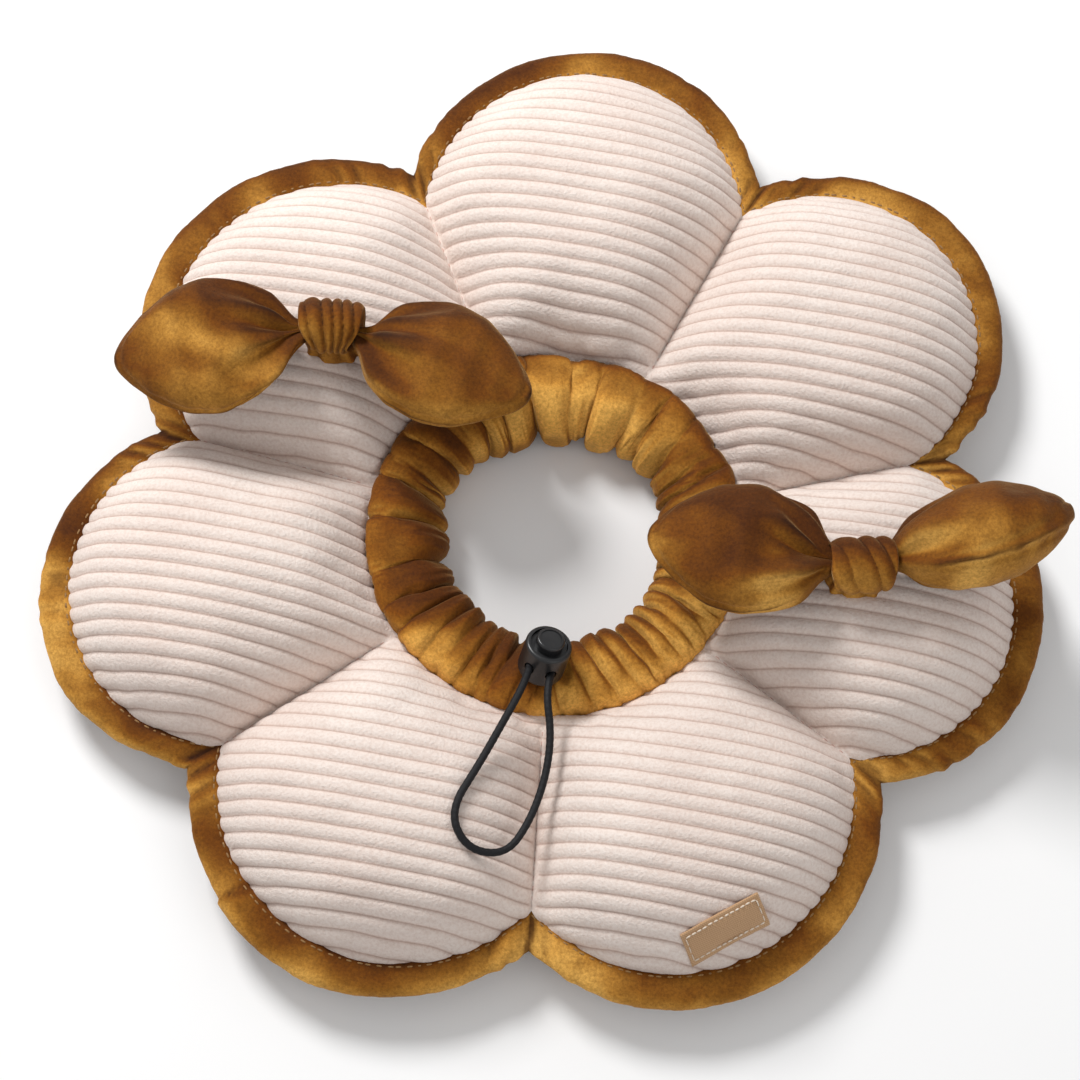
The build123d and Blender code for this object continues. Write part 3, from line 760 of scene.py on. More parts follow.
def binding_wrinkles(flat, arc, middle, angles):
    """How far the velvet stands out at each point: wrinkles, deeper near the notches, and its own overlap."""
    along = np.repeat(arc, BINDING_SIDES)
    across = np.tile(np.cos(angles), len(arc)) * 7 * MM
    near_notch = 1 - np.repeat(smooth_step(seam_distance(middle), 4 * MM, 26 * MM), BINDING_SIDES)
    skew = along + 0.25 * across
    wrinkle = noise_at(skew, across * 0.30, 0.0, 3.4 * MM, 15)
    finer = noise_at(skew, across * 0.4, 0.0, 1.8 * MM, 16)
    strength = 0.10 + 0.45 * smooth_step(noise_at(along, 0.0, 0.0, 20 * MM, 17), 0.0, 0.9)
    lift = MM * (wrinkle * (strength + 0.75 * near_notch) + 0.10 * finer)
    lift += MM * 0.10 * noise(flat, 1.3 * MM, 18)
    overlap = np.argmin(np.linalg.norm(middle - BINDING_OVERLAP, axis=1))
    past = along - arc[overlap] + 0.55 * across
    return lift + 1.1 * MM * smooth_step(past, 0.0, 0.9 * MM) * (1 - smooth_step(past, 14 * MM, 40 * MM))


def make_binding():
    """A folded, lightly padded strip round the whole outline, wrinkled across and creased at the notches.

    Returns it with its middle line, the outward direction and width along it, and the length so far.
    """
    outer, inner = binding_edges()
    middle = (outer + inner) / 2
    arc = stations_between(middle)
    count = len(arc)
    notch = smooth_step(seam_distance(middle), 0.0, 9 * MM)
    width = np.linalg.norm(outer - inner, axis=1)
    outward = (outer - inner) / width[:, None]
    edge_wave = MM * (0.9 * noise_at(arc, 0.0, 0.0, 34 * MM, 11) + 0.35 * noise_at(arc, 0.0, 0.0, 9 * MM, 12))
    height_wave = 1.1 * MM * noise_at(arc, 0.0, 0.0, 46 * MM, 13)
    fullness = 1 + 0.14 * noise_at(arc, 0.0, 0.0, 17 * MM, 14)
    bulge = BINDING_HALF_THICKNESS * fullness * (0.62 + 0.38 * notch)
    angles = 2 * math.pi * np.arange(BINDING_SIDES) / BINDING_SIDES
    points = []
    for angle in angles:
        x = np.sign(math.cos(angle)) * abs(math.cos(angle)) ** 0.75
        z = np.sign(math.sin(angle)) * abs(math.sin(angle)) ** 0.80
        outside = 0.5 * (1 + x)
        reach = (width / 2) * x + outside * (edge_wave - 0.9 * MM) * notch
        level = SEAM_HEIGHT + bulge * z + outside * height_wave * notch
        points.append(np.column_stack((middle + outward * reach[:, None], level)))
    flat = np.stack(points, 1).reshape(-1, 3)
    faces = [tuple(corner % len(flat) for corner in face) for face in tube_faces(count + 1, BINDING_SIDES)]
    centre = np.repeat(np.column_stack((middle, np.full(count, SEAM_HEIGHT))), BINDING_SIDES, 0)
    faces, normals = facing_out(flat, faces, centre)
    flat = flat + normals * binding_wrinkles(flat, arc, middle, angles)[:, None]
    flat[:, 2] = np.maximum(flat[:, 2], 0.4 * MM)
    return mesh_object("edge_binding_velvet", flat, faces), middle, outward, width, arc


edge_binding, binding_line, binding_outward, binding_width, binding_arc = make_binding()
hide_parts("edge_binding")
finished(edge_binding, VELVET, darker=0.23)


# ---- Threads ----


def stitches(name, runs, radius, mat):
    """Short rounded stitches, one from each (start, end, up), each dipping into the cloth at its ends."""
    points, faces = [], []
    sides, stations = 6, 5
    for start, end, above in runs:
        start, end, above = (np.asarray(v, float) for v in (start, end, above))
        along = end - start
        length = np.linalg.norm(along)
        along /= length
        above = above / np.linalg.norm(above)
        beside = np.cross(along, above)
        first = len(points)
        for k in range(stations):
            t = k / (stations - 1)
            girth = radius * (0.45 + 0.55 * math.sin(math.pi * t) ** 0.5)
            dip = -radius * 1.2 * (2 * t - 1) ** 4
            centre = start + along * length * t + above * dip
            for s in range(sides):
                a = 2 * math.pi * s / sides
                points.append(centre + girth * (math.cos(a) * beside + math.sin(a) * above))
        faces += [(first + a, first + d, first + c, first + b) for a, b, c, d in tube_faces(stations, sides)]
        faces.append(tuple(first + s for s in range(sides)))
        faces.append(tuple(first + (stations - 1) * sides + s for s in reversed(range(sides))))
    return finished(mesh_object(name, points, faces), mat)


def surface(obj):
    return tree_of([v.co for v in obj.data.vertices], [p.vertices for p in obj.data.polygons])


def drop(tree, x, y):
    """The point of the surface under (x, y), and its normal; at the seams' height where there is none."""
    hit, normal, _, _ = tree.ray_cast(Vector((x, y, 0.2)), Vector((0, 0, -1)))
    if hit is None:
        return np.array((x, y, SEAM_HEIGHT)), np.array((0, 0, 1.0))
    normal = np.array(normal)
    return np.array(hit), normal if normal[2] > 0 else -normal


binding_tree = surface(edge_binding)
STITCH_LENGTH = 2.3 * MM
STITCH_PITCH = 3.3 * MM
STITCH_INSIDE = 3.0 * MM  # from the binding's inner edge to its topstitching
QUILT_STITCH = 2.2 * MM
QUILT_PITCH = 3.2 * MM
runs = []
place = 0.0
while place < binding_arc[-1] - STITCH_LENGTH:
    ends = []
    for at in (place, place + STITCH_LENGTH):
        i = min(len(binding_arc) - 1, np.searchsorted(binding_arc, at))
        spot = binding_line[i] - binding_outward[i] * (binding_width[i] / 2 - STITCH_INSIDE)
        ends.append(drop(binding_tree, *spot))
    if np.linalg.norm(ends[1][0] - ends[0][0]) < 2 * STITCH_LENGTH:
        runs.append((ends[0][0], ends[1][0], ends[0][1]))
    place += STITCH_PITCH
topstitch = stitches("binding_topstitch_thread", runs, 0.33 * MM, GOLD_THREAD)
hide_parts("binding_topstitch")

cover_tree = surface(front_cover)
runs = []
for angle, cusp in zip(SEAM_ANGLES, CUSP_REACH):
    reach = 68 * MM
    while reach < cusp - 16 * MM:
        start, end = (drop(cover_tree, *polar(at, angle)[:2])[0] for at in (reach, reach + QUILT_STITCH))
        runs.append((start, end, (0, 0, 1)))
        reach += QUILT_PITCH
quilting = stitches("quilting_thread_runs", runs, 0.35 * MM, PINK_THREAD)
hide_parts("quilting_thread")


# ---- Gathered neck sleeve ----

SLEEVE_AROUND = 504
SLEEVE_STEP = 2.2 * MM
# Section of the sleeve before it is gathered: radius and height, from the front seam over the neck edge.
SLEEVE_PROFILE = ((63.4, 14.5), (63.0, 20.5), (58.5, 22.0), (52.0, 20.5), (46.0, 17.5), (41.6, 13.0),
                  (40.6, 8.5), (42.0, 4.6), (48.0, 3.0), (57.0, 3.0), (62.0, 6.5), (63.4, 12.0))
SLEEVE_FRAMES = 14
SLEEVE_PRESSURE = 40.0
SLEEVE_GROWTH = 0.10
FOLD_HEIGHT = 5.2 * MM
BROAD_FOLDS = ((88, 34, 1.0), (182, 24, 1.0), (42, 10, 0.8))  # direction, spread and share of the broad ones
NECK_LEAST_RADIUS = 35.6 * MM


def profile_points(profile, step):
    """Points about step apart along a smooth line through the profile, and how far along each is."""
    corners = np.array(profile) * MM
    gaps = stations_between(corners)
    count = max(2, round(gaps[-1] / step))
    at = np.linspace(0, gaps[-1], count + 1)
    line = np.stack([np.interp(at, gaps, corners[:, i]) for i in range(2)], 1)
    for _ in range(3):
        line[1:-1] = (line[:-2] + 2 * line[1:-1] + line[2:]) / 4
    return line, at / gaps[-1]


def chance(index, seed):
    """A number from 0 to 1 that depends only on index and seed."""
    return float(lattice(*np.array(((index * 7 + 3,), (index * 13 + 1,), (seed,))), seed)[0])


def make_folds():
    """The gathers: centre, half width, height, lean, lopsidedness and reach of each, in degrees."""
    folds = []
    at = -90.0 - 5.0
    while at < 262.0:
        index = len(folds)
        broad = max(peak * math.exp(-(((at - place) / spread) ** 2)) for place, spread, peak in BROAD_FOLDS)
        width = (7.0 + 9.0 * broad) * (0.72 + 0.56 * chance(index, 1))
        height = (0.62 + 0.5 * chance(index, 2)) * math.sqrt(width / 11.0)
        lean = 22.0 * (chance(index, 3) - 0.5)
        lopsided = 0.75 * (chance(index, 4) - 0.5) * 2
        folds.append((at + width / 2, width * 0.56, height, lean, lopsided, 0.35 + 0.65 * chance(index, 5)))
        at += width
    return folds


FOLDS = make_folds()


# How high the gathers stand, along the profile from its start at 0 to its end at 1.
FOLD_ENVELOPE = ((0.0, 0.12), (0.06, 0.45), (0.25, 0.8), (0.42, 1.0), (0.62, 0.9), (0.85, 0.5), (1.0, 0.12))


def fold_relief(degrees, share):
    """Height of the gathers, from 0 in a crease to about 1 on a full fold."""
    best = np.zeros(len(degrees))
    sway = 3.2 * noise_at(degrees * 0.05, share * 2.2, 0.0, 1.0, 23)
    envelope = np.interp(share, *np.transpose(FOLD_ENVELOPE))
    for centre, half, height, lean, lopsided, reach in FOLDS:
        x = (degrees + sway - centre - lean * (share - 0.38) + 180.0) % 360.0 - 180.0
        inside = np.abs(x / half) < 1
        x = np.clip(x / half, -1, 1)
        x = x + lopsided * (1 - x * x) * 0.5
        bump = height * np.clip(1 - np.abs(x) ** 2.2, 0, 1) ** 0.62
        outer = 0.35 + 0.65 * smooth_step(share, 0.30 * (1 - reach), 0.30 * (1 - reach) + 0.14)
        best = np.maximum(best, np.where(inside, bump * outer, 0))
    return best * envelope


def make_sleeve():
    """A velvet tube gathered into the neck seams and drawn in by the elastic."""
    line, share = profile_points(SLEEVE_PROFILE, SLEEVE_STEP)
    rows = len(line)
    tangent = np.gradient(line, axis=0)
    tangent /= np.linalg.norm(tangent, axis=1, keepdims=True)
    outward = np.column_stack((tangent[:, 1], -tangent[:, 0]))
    if (outward * (line - np.array((52 * MM, 12 * MM)))).sum() < 0:
        outward = -outward
    turns = np.repeat(2 * math.pi * np.arange(SLEEVE_AROUND) / SLEEVE_AROUND, rows)
    degrees = np.degrees(turns)
    shares = np.tile(share, SLEEVE_AROUND)
    ends = np.zeros(rows, bool)
    ends[[0, -1]] = True
    held = np.tile(ends, SLEEVE_AROUND)
    relief = FOLD_HEIGHT * fold_relief(degrees, shares)
    inner = np.exp(-(((shares - 0.46) / 0.16) ** 2))
    relief += 2.3 * MM * inner * noise_at(0.05 * np.cos(turns), 0.05 * np.sin(turns), 0.0, 30 * MM, 24)
    relief += 0.55 * MM * inner * noise_at(degrees * 0.7, shares * 3.0, 0.0, 1.35, 25)
    relief[held] = 0.0
    radius = np.tile(line[:, 0], SLEEVE_AROUND) + relief * np.tile(outward[:, 0], SLEEVE_AROUND)
    height = np.tile(line[:, 1], SLEEVE_AROUND) + relief * np.tile(outward[:, 1], SLEEVE_AROUND)
    shape = np.column_stack((radius * np.cos(turns), radius * np.sin(turns), height))
    faces = []
    for i in range(SLEEVE_AROUND):
        for j in range(rows - 1):
            a, b = i * rows + j, ((i + 1) % SLEEVE_AROUND) * rows + j
            faces.append((a, b, b + 1, a + 1))
    sleeve = mesh_object("neck_sleeve_velvet", shape, faces)
    weight_group(sleeve, "pin", held.astype(float))
    shape = run_cloth(sleeve, SLEEVE_FRAMES, SLEEVE_PRESSURE, SLEEVE_GROWTH, stiffness=40.0, bending=0.05)
    shape = clear_of_lock(shape)
    reach = np.hypot(shape[:, 0], shape[:, 1])
    pull = np.maximum(reach, NECK_LEAST_RADIUS) / reach
    shape[:, :2] *= pull[:, None]
    shape[:, 2] = np.maximum(shape[:, 2], 0.6 * MM)
    place_points(sleeve, shape)
    refine(sleeve, 1)
    return sleeve


def clear_of_lock(points):
    """Presses the sleeve down to the foot of the cord lock where the lock lies on it."""
    foot, reach = -8.4 * MM, 9.0 * MM
    from_lock = points - np.array(LOCK_CENTRE)
    axis = np.array(LOCK_AXIS)
    up = from_lock @ axis
    beside = np.linalg.norm(from_lock - up[:, None] * axis, axis=1)
    excess = np.where((beside < reach + 2 * MM) & (up > foot), up - foot, 0.0)
    share = 1 - smooth_step(beside, reach, reach + 2 * MM)
    return points - (excess * share)[:, None] * axis


neck_sleeve = make_sleeve()
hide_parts("neck_sleeve")
finished(neck_sleeve, VELVET, crease_rounds=26, crease_depth=1.2 * MM)


# ---- Bows ----

KNOT_HEIGHT = 54.5 * MM
EAR_ROOT = 15.0 * MM  # from the knot's centre to the crease where an ear bends
EAR_START = -6.5 * MM  # an ear's gathered root, inside the knot band
EAR_AROUND = 76
EAR_ALONG = 44
EAR_FRAMES = 26
EAR_PRESSURE = 60.0
EAR_FLAT_LENGTH = 74 * MM
EAR_POINT = 0.8 * MM  # from its last ring to its tip
EAR_GATHERS = ((1.0, 5, 1.0), (0.7, 8, 2.1), (0.5, 3, 4.2))  # size, count and phase of the folds at its root
# The flat leaf of an ear: share of its length, and half its width in millimetres.
EAR_LEAF = ((0.0, 13.0), (0.07, 20.5), (0.18, 26.5), (0.32, 28.5), (0.48, 27.0), (0.66, 21.5),
            (0.82, 13.5), (0.93, 6.5), (1.0, 0.6))
# The ear as it is stuffed: distance from its crease, half its width and half its thickness.
EAR_STUFFED = ((-6.5, 4.2, 3.4), (-4.0, 7.5, 5.2), (-1.0, 14.5, 8.4), (4.0, 18.5, 10.6), (12.0, 21.5, 12.2),
               (24.0, 23.0, 13.0), (36.0, 21.0, 12.2), (47.0, 14.5, 8.6), (55.0, 7.5, 4.8), (59.0, 2.6, 2.2))


def smooth_line(stations, values, at):
    """Values at some places along a line, without corners at its stations."""
    fine = np.linspace(stations[0], stations[-1], 400)
    line = np.interp(fine, stations, values)
    for _ in range(90):
        line[1:-1] = (line[:-2] + 2 * line[1:-1] + line[2:]) / 4
    return np.interp(at, fine, line)


def ear_cloth(ear, seed):
    """An ear's two layers: points as stuffed and as cut flat, their distance from the seam, and the faces."""
    share = np.linspace(0, 1, EAR_ALONG)
    at, half_width, half_depth = (np.array(EAR_STUFFED) * MM).T
    at = at * ear.length
    station = EAR_START + (at[-1] - EAR_START) * share
    wide = smooth_line(at, half_width * ear.girth, station) * (1 - 0.18 * ear.roundness)
    thick = smooth_line(at, half_depth, station) * (1 + 0.38 * ear.roundness)
    leaf_share, leaf_half = np.array(EAR_LEAF).T
    half = np.repeat(smooth_line(leaf_share, leaf_half * MM * ear.girth, share), EAR_AROUND)
    turns = 2 * math.pi * np.arange(EAR_AROUND) / EAR_AROUND
    step = 4 * np.arange(EAR_AROUND) / EAR_AROUND
    across = np.tile(np.where(step < 2, 1 - step, step - 3), EAR_ALONG)
    layer = np.tile(np.sign(np.sin(turns)) * 0.15 * MM, EAR_ALONG)
    x = np.repeat(station, EAR_AROUND)
    theta = np.tile(turns, EAR_ALONG)
    gather = np.exp(-(((x - EAR_START) / (15 * MM)) ** 2)) * np.clip((x - EAR_START) / (5 * MM), 0, 1)
    fold = sum(size * np.cos(count * theta + phase * seed) for size, count, phase in EAR_GATHERS)
    swell = 1 + 0.16 * fold * gather
    y = np.repeat(wide, EAR_AROUND) * np.cos(theta) * swell
    z = np.repeat(thick, EAR_AROUND) * np.sin(theta) * swell
    root, tip = len(x), len(x) + 1
    start = np.vstack((np.column_stack((x, y, z)), (EAR_START, 0, 0), (station[-1] + EAR_POINT, 0, 0)))
    flat_length = EAR_FLAT_LENGTH * ear.length
    rest = np.column_stack((np.repeat(share * flat_length, EAR_AROUND), half * across, layer))
    rest = np.vstack((rest, (-4 * MM, 0, 0), (flat_length + 1.0 * MM, 0, 0)))
    sewn = np.append(half * (1 - np.abs(across)), (10 * MM, 0.0))
    faces = tube_faces(EAR_ALONG, EAR_AROUND)
    last = root - EAR_AROUND
    for j in range(EAR_AROUND):
        after = (j + 1) % EAR_AROUND
        faces += [(root, after, j), (tip, last + j, last + after)]
    return start, rest, sewn, [face[::-1] for face in faces]


def stuff(ear, start, rest, faces):
    """Lets the cloth find its shape from its flat cut, held at its root, and smooths it short of its tip."""
    pins = np.zeros(len(start))
    pins[:EAR_AROUND] = 1.0
    pins[-2:] = 1.0, 0.6
    weight_group(ear, "pin", pins)
    shape = run_cloth(ear, EAR_FRAMES, EAR_PRESSURE, 0.0, stiffness=25.0, bending=0.25, rest=rest)
    smoothed = relax(shape.copy(), face_edges(faces), pins > 0.9, 9, 0.5)
    end = start[-1, 0] - EAR_POINT
    at_tip = smooth_step(start[:, 0], 0.68 * end, 0.9 * end)[:, None]
    ear.shape_key_clear()
    place_points(ear, smoothed + 0.45 * at_tip * (shape - smoothed))


def seam_relief(points, sewn, seed):
    """How far the velvet stands out: a ridge on the seam, a groove and puckers beside it, and unevenness."""
    ridge = 0.50 * MM * np.exp(-((sewn / (0.9 * MM)) ** 2))
    groove = 0.42 * MM * np.exp(-(((sewn - 2.3 * MM) / (1.1 * MM)) ** 2))
    pucker = 0.42 * MM * noise_at(points[:, 0], 0.0, np.sign(points[:, 2]) * 4 * MM, 3.6 * MM, seed + 31)
    pucker *= np.exp(-sewn / (4.5 * MM)) * np.clip(sewn / (1.0 * MM), 0, 1)
    relief = (ridge - groove + pucker) * smooth_step(points[:, 0], 2 * MM, 14 * MM)
    relief += 0.40 * MM * noise(points, 14 * MM, seed + 32)
    return relief + 0.08 * MM * noise(points, 2.6 * MM, seed + 33)


def press_creases(points, creases):
    """Draws the points in along the creases that run out from an ear's root."""
    angle = np.arctan2(points[:, 2], points[:, 1])
    radius = np.hypot(points[:, 1], points[:, 2])
    for at, bend, depth, broad, reach in creases:
        middle = math.radians(at) + bend * points[:, 0] / (30 * MM)
        beside = (angle - middle + math.pi) % (2 * math.pi) - math.pi
        near = np.exp(-((beside * np.maximum(radius, 6 * MM) / (broad * MM)) ** 2))
        along = np.exp(-((np.maximum(points[:, 0] - 1 * MM, 0) / (reach * MM)) ** 2))
        pull = 1 - np.clip(depth * MM * near * along / np.maximum(radius, 1 * MM), 0, 0.8)
        points[:, 1:] *= pull[:, None]


def make_ear(name, knot, ear, seed):
    """A stuffed leaf of two sewn velvet layers, gathered at its root. Returns it and where it bends."""
    start, rest, sewn, faces = ear_cloth(ear, seed)
    made = mesh_object(name, start, faces, {"sewn": sewn})
    stuff(made, start, rest, faces)
    refine(made, 1)
    points = np.array([v.co for v in made.data.vertices])
    sewn = np.zeros(len(points))
    made.data.attributes["sewn"].data.foreach_get("value", sewn)
    _, normals = facing_out(points, [tuple(p.vertices) for p in made.data.polygons], points * (1, 0, 0))
    points = points + normals * seam_relief(points, sewn, seed)[:, None]
    press_creases(points, ear.creases)
    frame_x, frame_y, frame_z = ear_frame(ear.yaw, ear.droop)
    r = math.radians(ear.roll)
    beside = frame_y * math.cos(r) + frame_z * math.sin(r)
    above = frame_z * math.cos(r) - frame_y * math.sin(r)
    origin = knot + polar(EAR_ROOT, ear.yaw)
    place_points(made, rest_on_cover(origin + points @ np.array((frame_x, beside, above))))
    made.data.update()
    return made, origin + frame_x * EAR_START, origin + frame_x * 9 * MM


def ear_frame(yaw, droop):
    """An ear's own axes before it is rolled: along it, across it and up through its two layers."""
    outward = polar(1.0, yaw)
    d = math.radians(droop)
    x = outward * math.cos(d) - np.array((0, 0, math.sin(d)))
    z = outward * math.sin(d) + np.array((0, 0, math.cos(d)))
    return x, np.cross(z, x), z


def rest_on_cover(points):
    """Lifts what would sink into the petals onto them."""
    for point in points:
        if point[2] < 50 * MM:
            hit, _, _, _ = cover_tree.ray_cast(Vector((point[0], point[1], 0.2)), Vector((0, 0, -1)))
            if hit is not None and point[2] < hit[2] + 0.5 * MM:
                point[2] = hit[2] + 0.5 * MM
    return points


BAND_AROUND = 132
BAND_ACROSS = 46
BAND_RADIUS = 8.7 * MM
BAND_HALF_LENGTH = 10.6 * MM


def make_band(name, knot, along, bow):
    """The pleated strip round a knot, narrower where its pleats draw together in front."""
    seed = bow.seed
    along = along / np.linalg.norm(along)
    front = np.array((along[1], -along[0], 0.0))
    front = front if front[1] < 0 else -front
    place = np.linspace(-1, 1, BAND_ACROSS)
    lip = ((0.38, 0.79), (0.58, 0.85), (0.80, 0.91))
    rows = [(scale, -p) for scale, p in lip] + [(1.0, p) for p in place] + list(lip[::-1])
    points = []
    for scale, p in rows:
        for k in range(BAND_AROUND):
            phi = 2 * math.pi * k / BAND_AROUND
            near = math.exp(-(((phi - bow.front + math.pi) % (2 * math.pi) - math.pi) / 0.95) ** 2)
            half = BAND_HALF_LENGTH * (1 - bow.narrowing * near)
            bent = p + bow.slant * math.sin(phi - 0.4) * 0.22
            warped = bent + 0.10 * math.sin(3.1 * bent + seed)
            turn = bow.pleats * warped / 2 + 0.13 * math.sin(phi * 2 + seed) + 0.17 * seed
            relief = (abs(math.sin(math.pi * turn)) ** 0.6 - 0.7) * bow.pleat_height
            edge = 1 - 0.16 * abs(p) ** 5
            radius = BAND_RADIUS * edge * (1 + 0.05 * math.cos(2 * phi + seed)) + relief * (scale == 1.0)
            radius *= scale
            centre = knot + along * p * half
            points.append(centre + radius * (math.cos(phi) * np.array((0, 0, 1.0)) + math.sin(phi) * front))
    faces = tube_faces(len(rows), BAND_AROUND)
    first, last = len(points), len(points) + 1
    end = first - BAND_AROUND
    points += [np.mean(points[:BAND_AROUND], 0), np.mean(points[end:first], 0)]
    for j in range(BAND_AROUND):
        after = (j + 1) % BAND_AROUND
        faces += [(first, after, j), (last, end + j, end + after)]
    points = np.array(points)
    triangles = np.array([face[:3] for face in faces])
    normals = vertex_normals(points, triangles)
    if ((points - knot) * normals).sum() < 0:
        normals = -normals
        faces = [face[::-1] for face in faces]
    uneven = 0.35 * MM * noise(points, 5 * MM, seed + 41) + 0.10 * MM * noise(points, 2 * MM, seed + 42)
    return mesh_object(name, points + normals * uneven[:, None], faces)


TAB_AROUND = 64
TAB_ROWS = 22


def make_tab(name, knot, along, half_long, half_deep, seed):
    """The strap under a knot: a short gathered column of velvet, spread where it is sewn to the petal."""
    along = along / np.linalg.norm(along)
    front = np.array((-along[1], along[0], 0.0))
    foot = drop(cover_tree, knot[0], knot[1])[0][2] - 1.5 * MM
    top = knot[2] - 3.5 * MM
    points = []
    for i in range(TAB_ROWS):
        t = i / (TAB_ROWS - 1)
        spread = 1 + 0.30 * (1 - t) ** 2
        for k in range(TAB_AROUND):
            a = 2 * math.pi * k / TAB_AROUND
            gather = 1 + 0.05 * math.sin(9 * a + seed) + 0.03 * math.sin(14 * a + 2 * seed + 3 * t)
            offset = along * half_long * math.cos(a) + front * half_deep * math.sin(a)
            points.append(np.array((knot[0], knot[1], foot + (top - foot) * t)) + offset * spread * gather)
    faces = tube_faces(TAB_ROWS, TAB_AROUND)
    faces.append(tuple(reversed(range(TAB_AROUND))))
    faces.append(tuple((TAB_ROWS - 1) * TAB_AROUND + j for j in range(TAB_AROUND)))
    return mesh_object(name, points, faces)


# An ear's direction, roll and droop in degrees, its length and girth as shares of the drawn leaf, and its
# roundness, from 0 for a flat leaf to 1 for a plump one. Each crease that runs out from its root has an
# angle round the ear, a bend, and its depth, width and reach in millimetres.
Ear = namedtuple("Ear", "yaw roll droop length girth roundness creases")
# A knot's place, where its band is narrowest, and the slant, number and height of the band's pleats.
Bow = namedtuple("Bow", "knot front narrowing slant pleats pleat_height seed outer_ear inner_ear")

BOWS = {
    "left_bow": Bow(
        (-77.4, 55.5), 1.75, 0.42, 0.5, 5, 1.35 * MM, 1,
        outer_ear=Ear(192.0, -6.0, 5.0, 0.98, 1.0, 0.1, (
            (112, 0.3, 5.5, 3.0, 13), (40, -0.2, 3.5, 2.6, 12),
            (165, 0.3, 3.2, 2.6, 12), (75, 0.1, 2.0, 2.2, 8))),
        inner_ear=Ear(-16.0, -12.0, 5.0, 0.93, 1.0, 0.1, (
            (-6, -0.5, 4.5, 2.6, 14), (70, 0.2, 2.6, 2.6, 12), (130, 0.2, 2.2, 2.4, 10))),
    ),
    "right_bow": Bow(
        (99.8, -16.0), 2.2, 0.22, 1.9, 3, 1.2 * MM, 2,
        outer_ear=Ear(17.0, -56.0, -7.0, 0.93, 1.02, 0.85, (
            (-62, 0.3, 5.0, 2.6, 13), (10, 0.2, 2.6, 2.4, 12), (-100, 0.0, 2.4, 2.4, 10))),
        inner_ear=Ear(174.0, 6.0, 5.0, 0.935, 1.0, 0.1, (
            (105, 0.2, 5.5, 2.6, 13), (60, -0.2, 3.2, 2.6, 12),
            (142, 0.3, 3.4, 2.4, 12), (80, 0.0, 2.0, 2.0, 8))),
    ),
}
EAR_ORDER = {"left_bow": ("outer_ear", "inner_ear"), "right_bow": ("inner_ear", "outer_ear")}  # from the left

for bow_name, bow in BOWS.items():
    knot = np.array((*bow.knot, 0.0)) * MM + np.array((0, 0, KNOT_HEIGHT))
    left, right = (getattr(bow, ear_name) for ear_name in EAR_ORDER[bow_name])
    along = polar(1.0, left.yaw) - polar(1.0, right.yaw)
    band = make_band(f"{bow_name}_knot_band_velvet", knot, along, bow)
    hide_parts(f"{bow_name}_knot_band", f"{bow_name}_core")
    finished(band, VELVET, bow_name)
    tab = make_tab(f"{bow_name}_anchor_tab_velvet", knot, along, 8.6 * MM, 6.2 * MM, bow.seed)
    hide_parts(f"{bow_name}_anchor_tab")
    finished(tab, VELVET)
    for number, ear_name in enumerate(EAR_ORDER[bow_name]):
        full = f"{bow_name}_{ear_name}"
        ear, root, bent = make_ear(f"{full}_velvet", knot, getattr(bow, ear_name), bow.seed * 10 + number)
        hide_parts(f"{full}_front_panel", f"{full}_back_panel", f"{full}_filling")
        finished(ear, VELVET, None)
        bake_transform(ear)


# ---- Drawcord and cord lock ----

heading = Vector((-0.25, -1.0, 0.0))
LOCK_OUT = (heading - LOCK_AXIS * heading.dot(LOCK_AXIS)).normalized()
LOCK_SIDE = LOCK_AXIS.cross(LOCK_OUT)
LOCK_RADIUS = 7.75 * MM
STRAND_OFFSET = 3.7 * MM  # from the lock's middle to either hole
CORD_MOUTH = math.sqrt(LOCK_RADIUS**2 - STRAND_OFFSET**2)


def lock_point(x, y, z):
    return LOCK_CENTRE + LOCK_OUT * x + LOCK_SIDE * y + LOCK_AXIS * z


left_mouth = lock_point(CORD_MOUTH, -STRAND_OFFSET, -1.0 * MM)
right_mouth = lock_point(CORD_MOUTH, STRAND_OFFSET, -1.0 * MM)
LOOP_ROUTE = [
    left_mouth,
    left_mouth + LOCK_OUT * 7.0 * MM,
    Vector((-12.5, -71.0, 39.5)) * MM,
    Vector((-19.5, -86.0, 39.8)) * MM,
    Vector((-27.5, -102.0, 42.0)) * MM,
    Vector((-21.5, -113.3, 39.6)) * MM,
    Vector((-9.0, -113.5, 36.0)) * MM,
    Vector((-2.2, -102.3, 34.2)) * MM,
    Vector((2.2, -87.5, 34.0)) * MM,
    Vector((3.2, -73.0, 34.8)) * MM,
    right_mouth + LOCK_OUT * 7.0 * MM,
    right_mouth,
]


def curve_points(route):
    """Points close together along the smooth curve that a route's points steer."""
    curve = bpy.data.curves.new("route", "CURVE")
    curve.dimensions = "3D"
    spline = curve.splines.new("NURBS")
    spline.points.add(len(route) - 1)
    for point, place in zip(spline.points, route):
        point.co = (*place, 1.0)
    spline.order_u = 3
    spline.use_endpoint_u = True
    spline.resolution_u = 24
    obj = bpy.data.objects.new("route", curve)
    scene.collection.objects.link(obj)
    mesh = bpy.data.meshes.new_from_object(obj)
    points = np.array([v.co for v in mesh.vertices])
    bpy.data.objects.remove(obj)
    return points


CORD_SIDES = 32
CORD_STEP = 0.30 * MM
BRAID_STRANDS = 6
BRAID_PITCH = 2.1 * MM


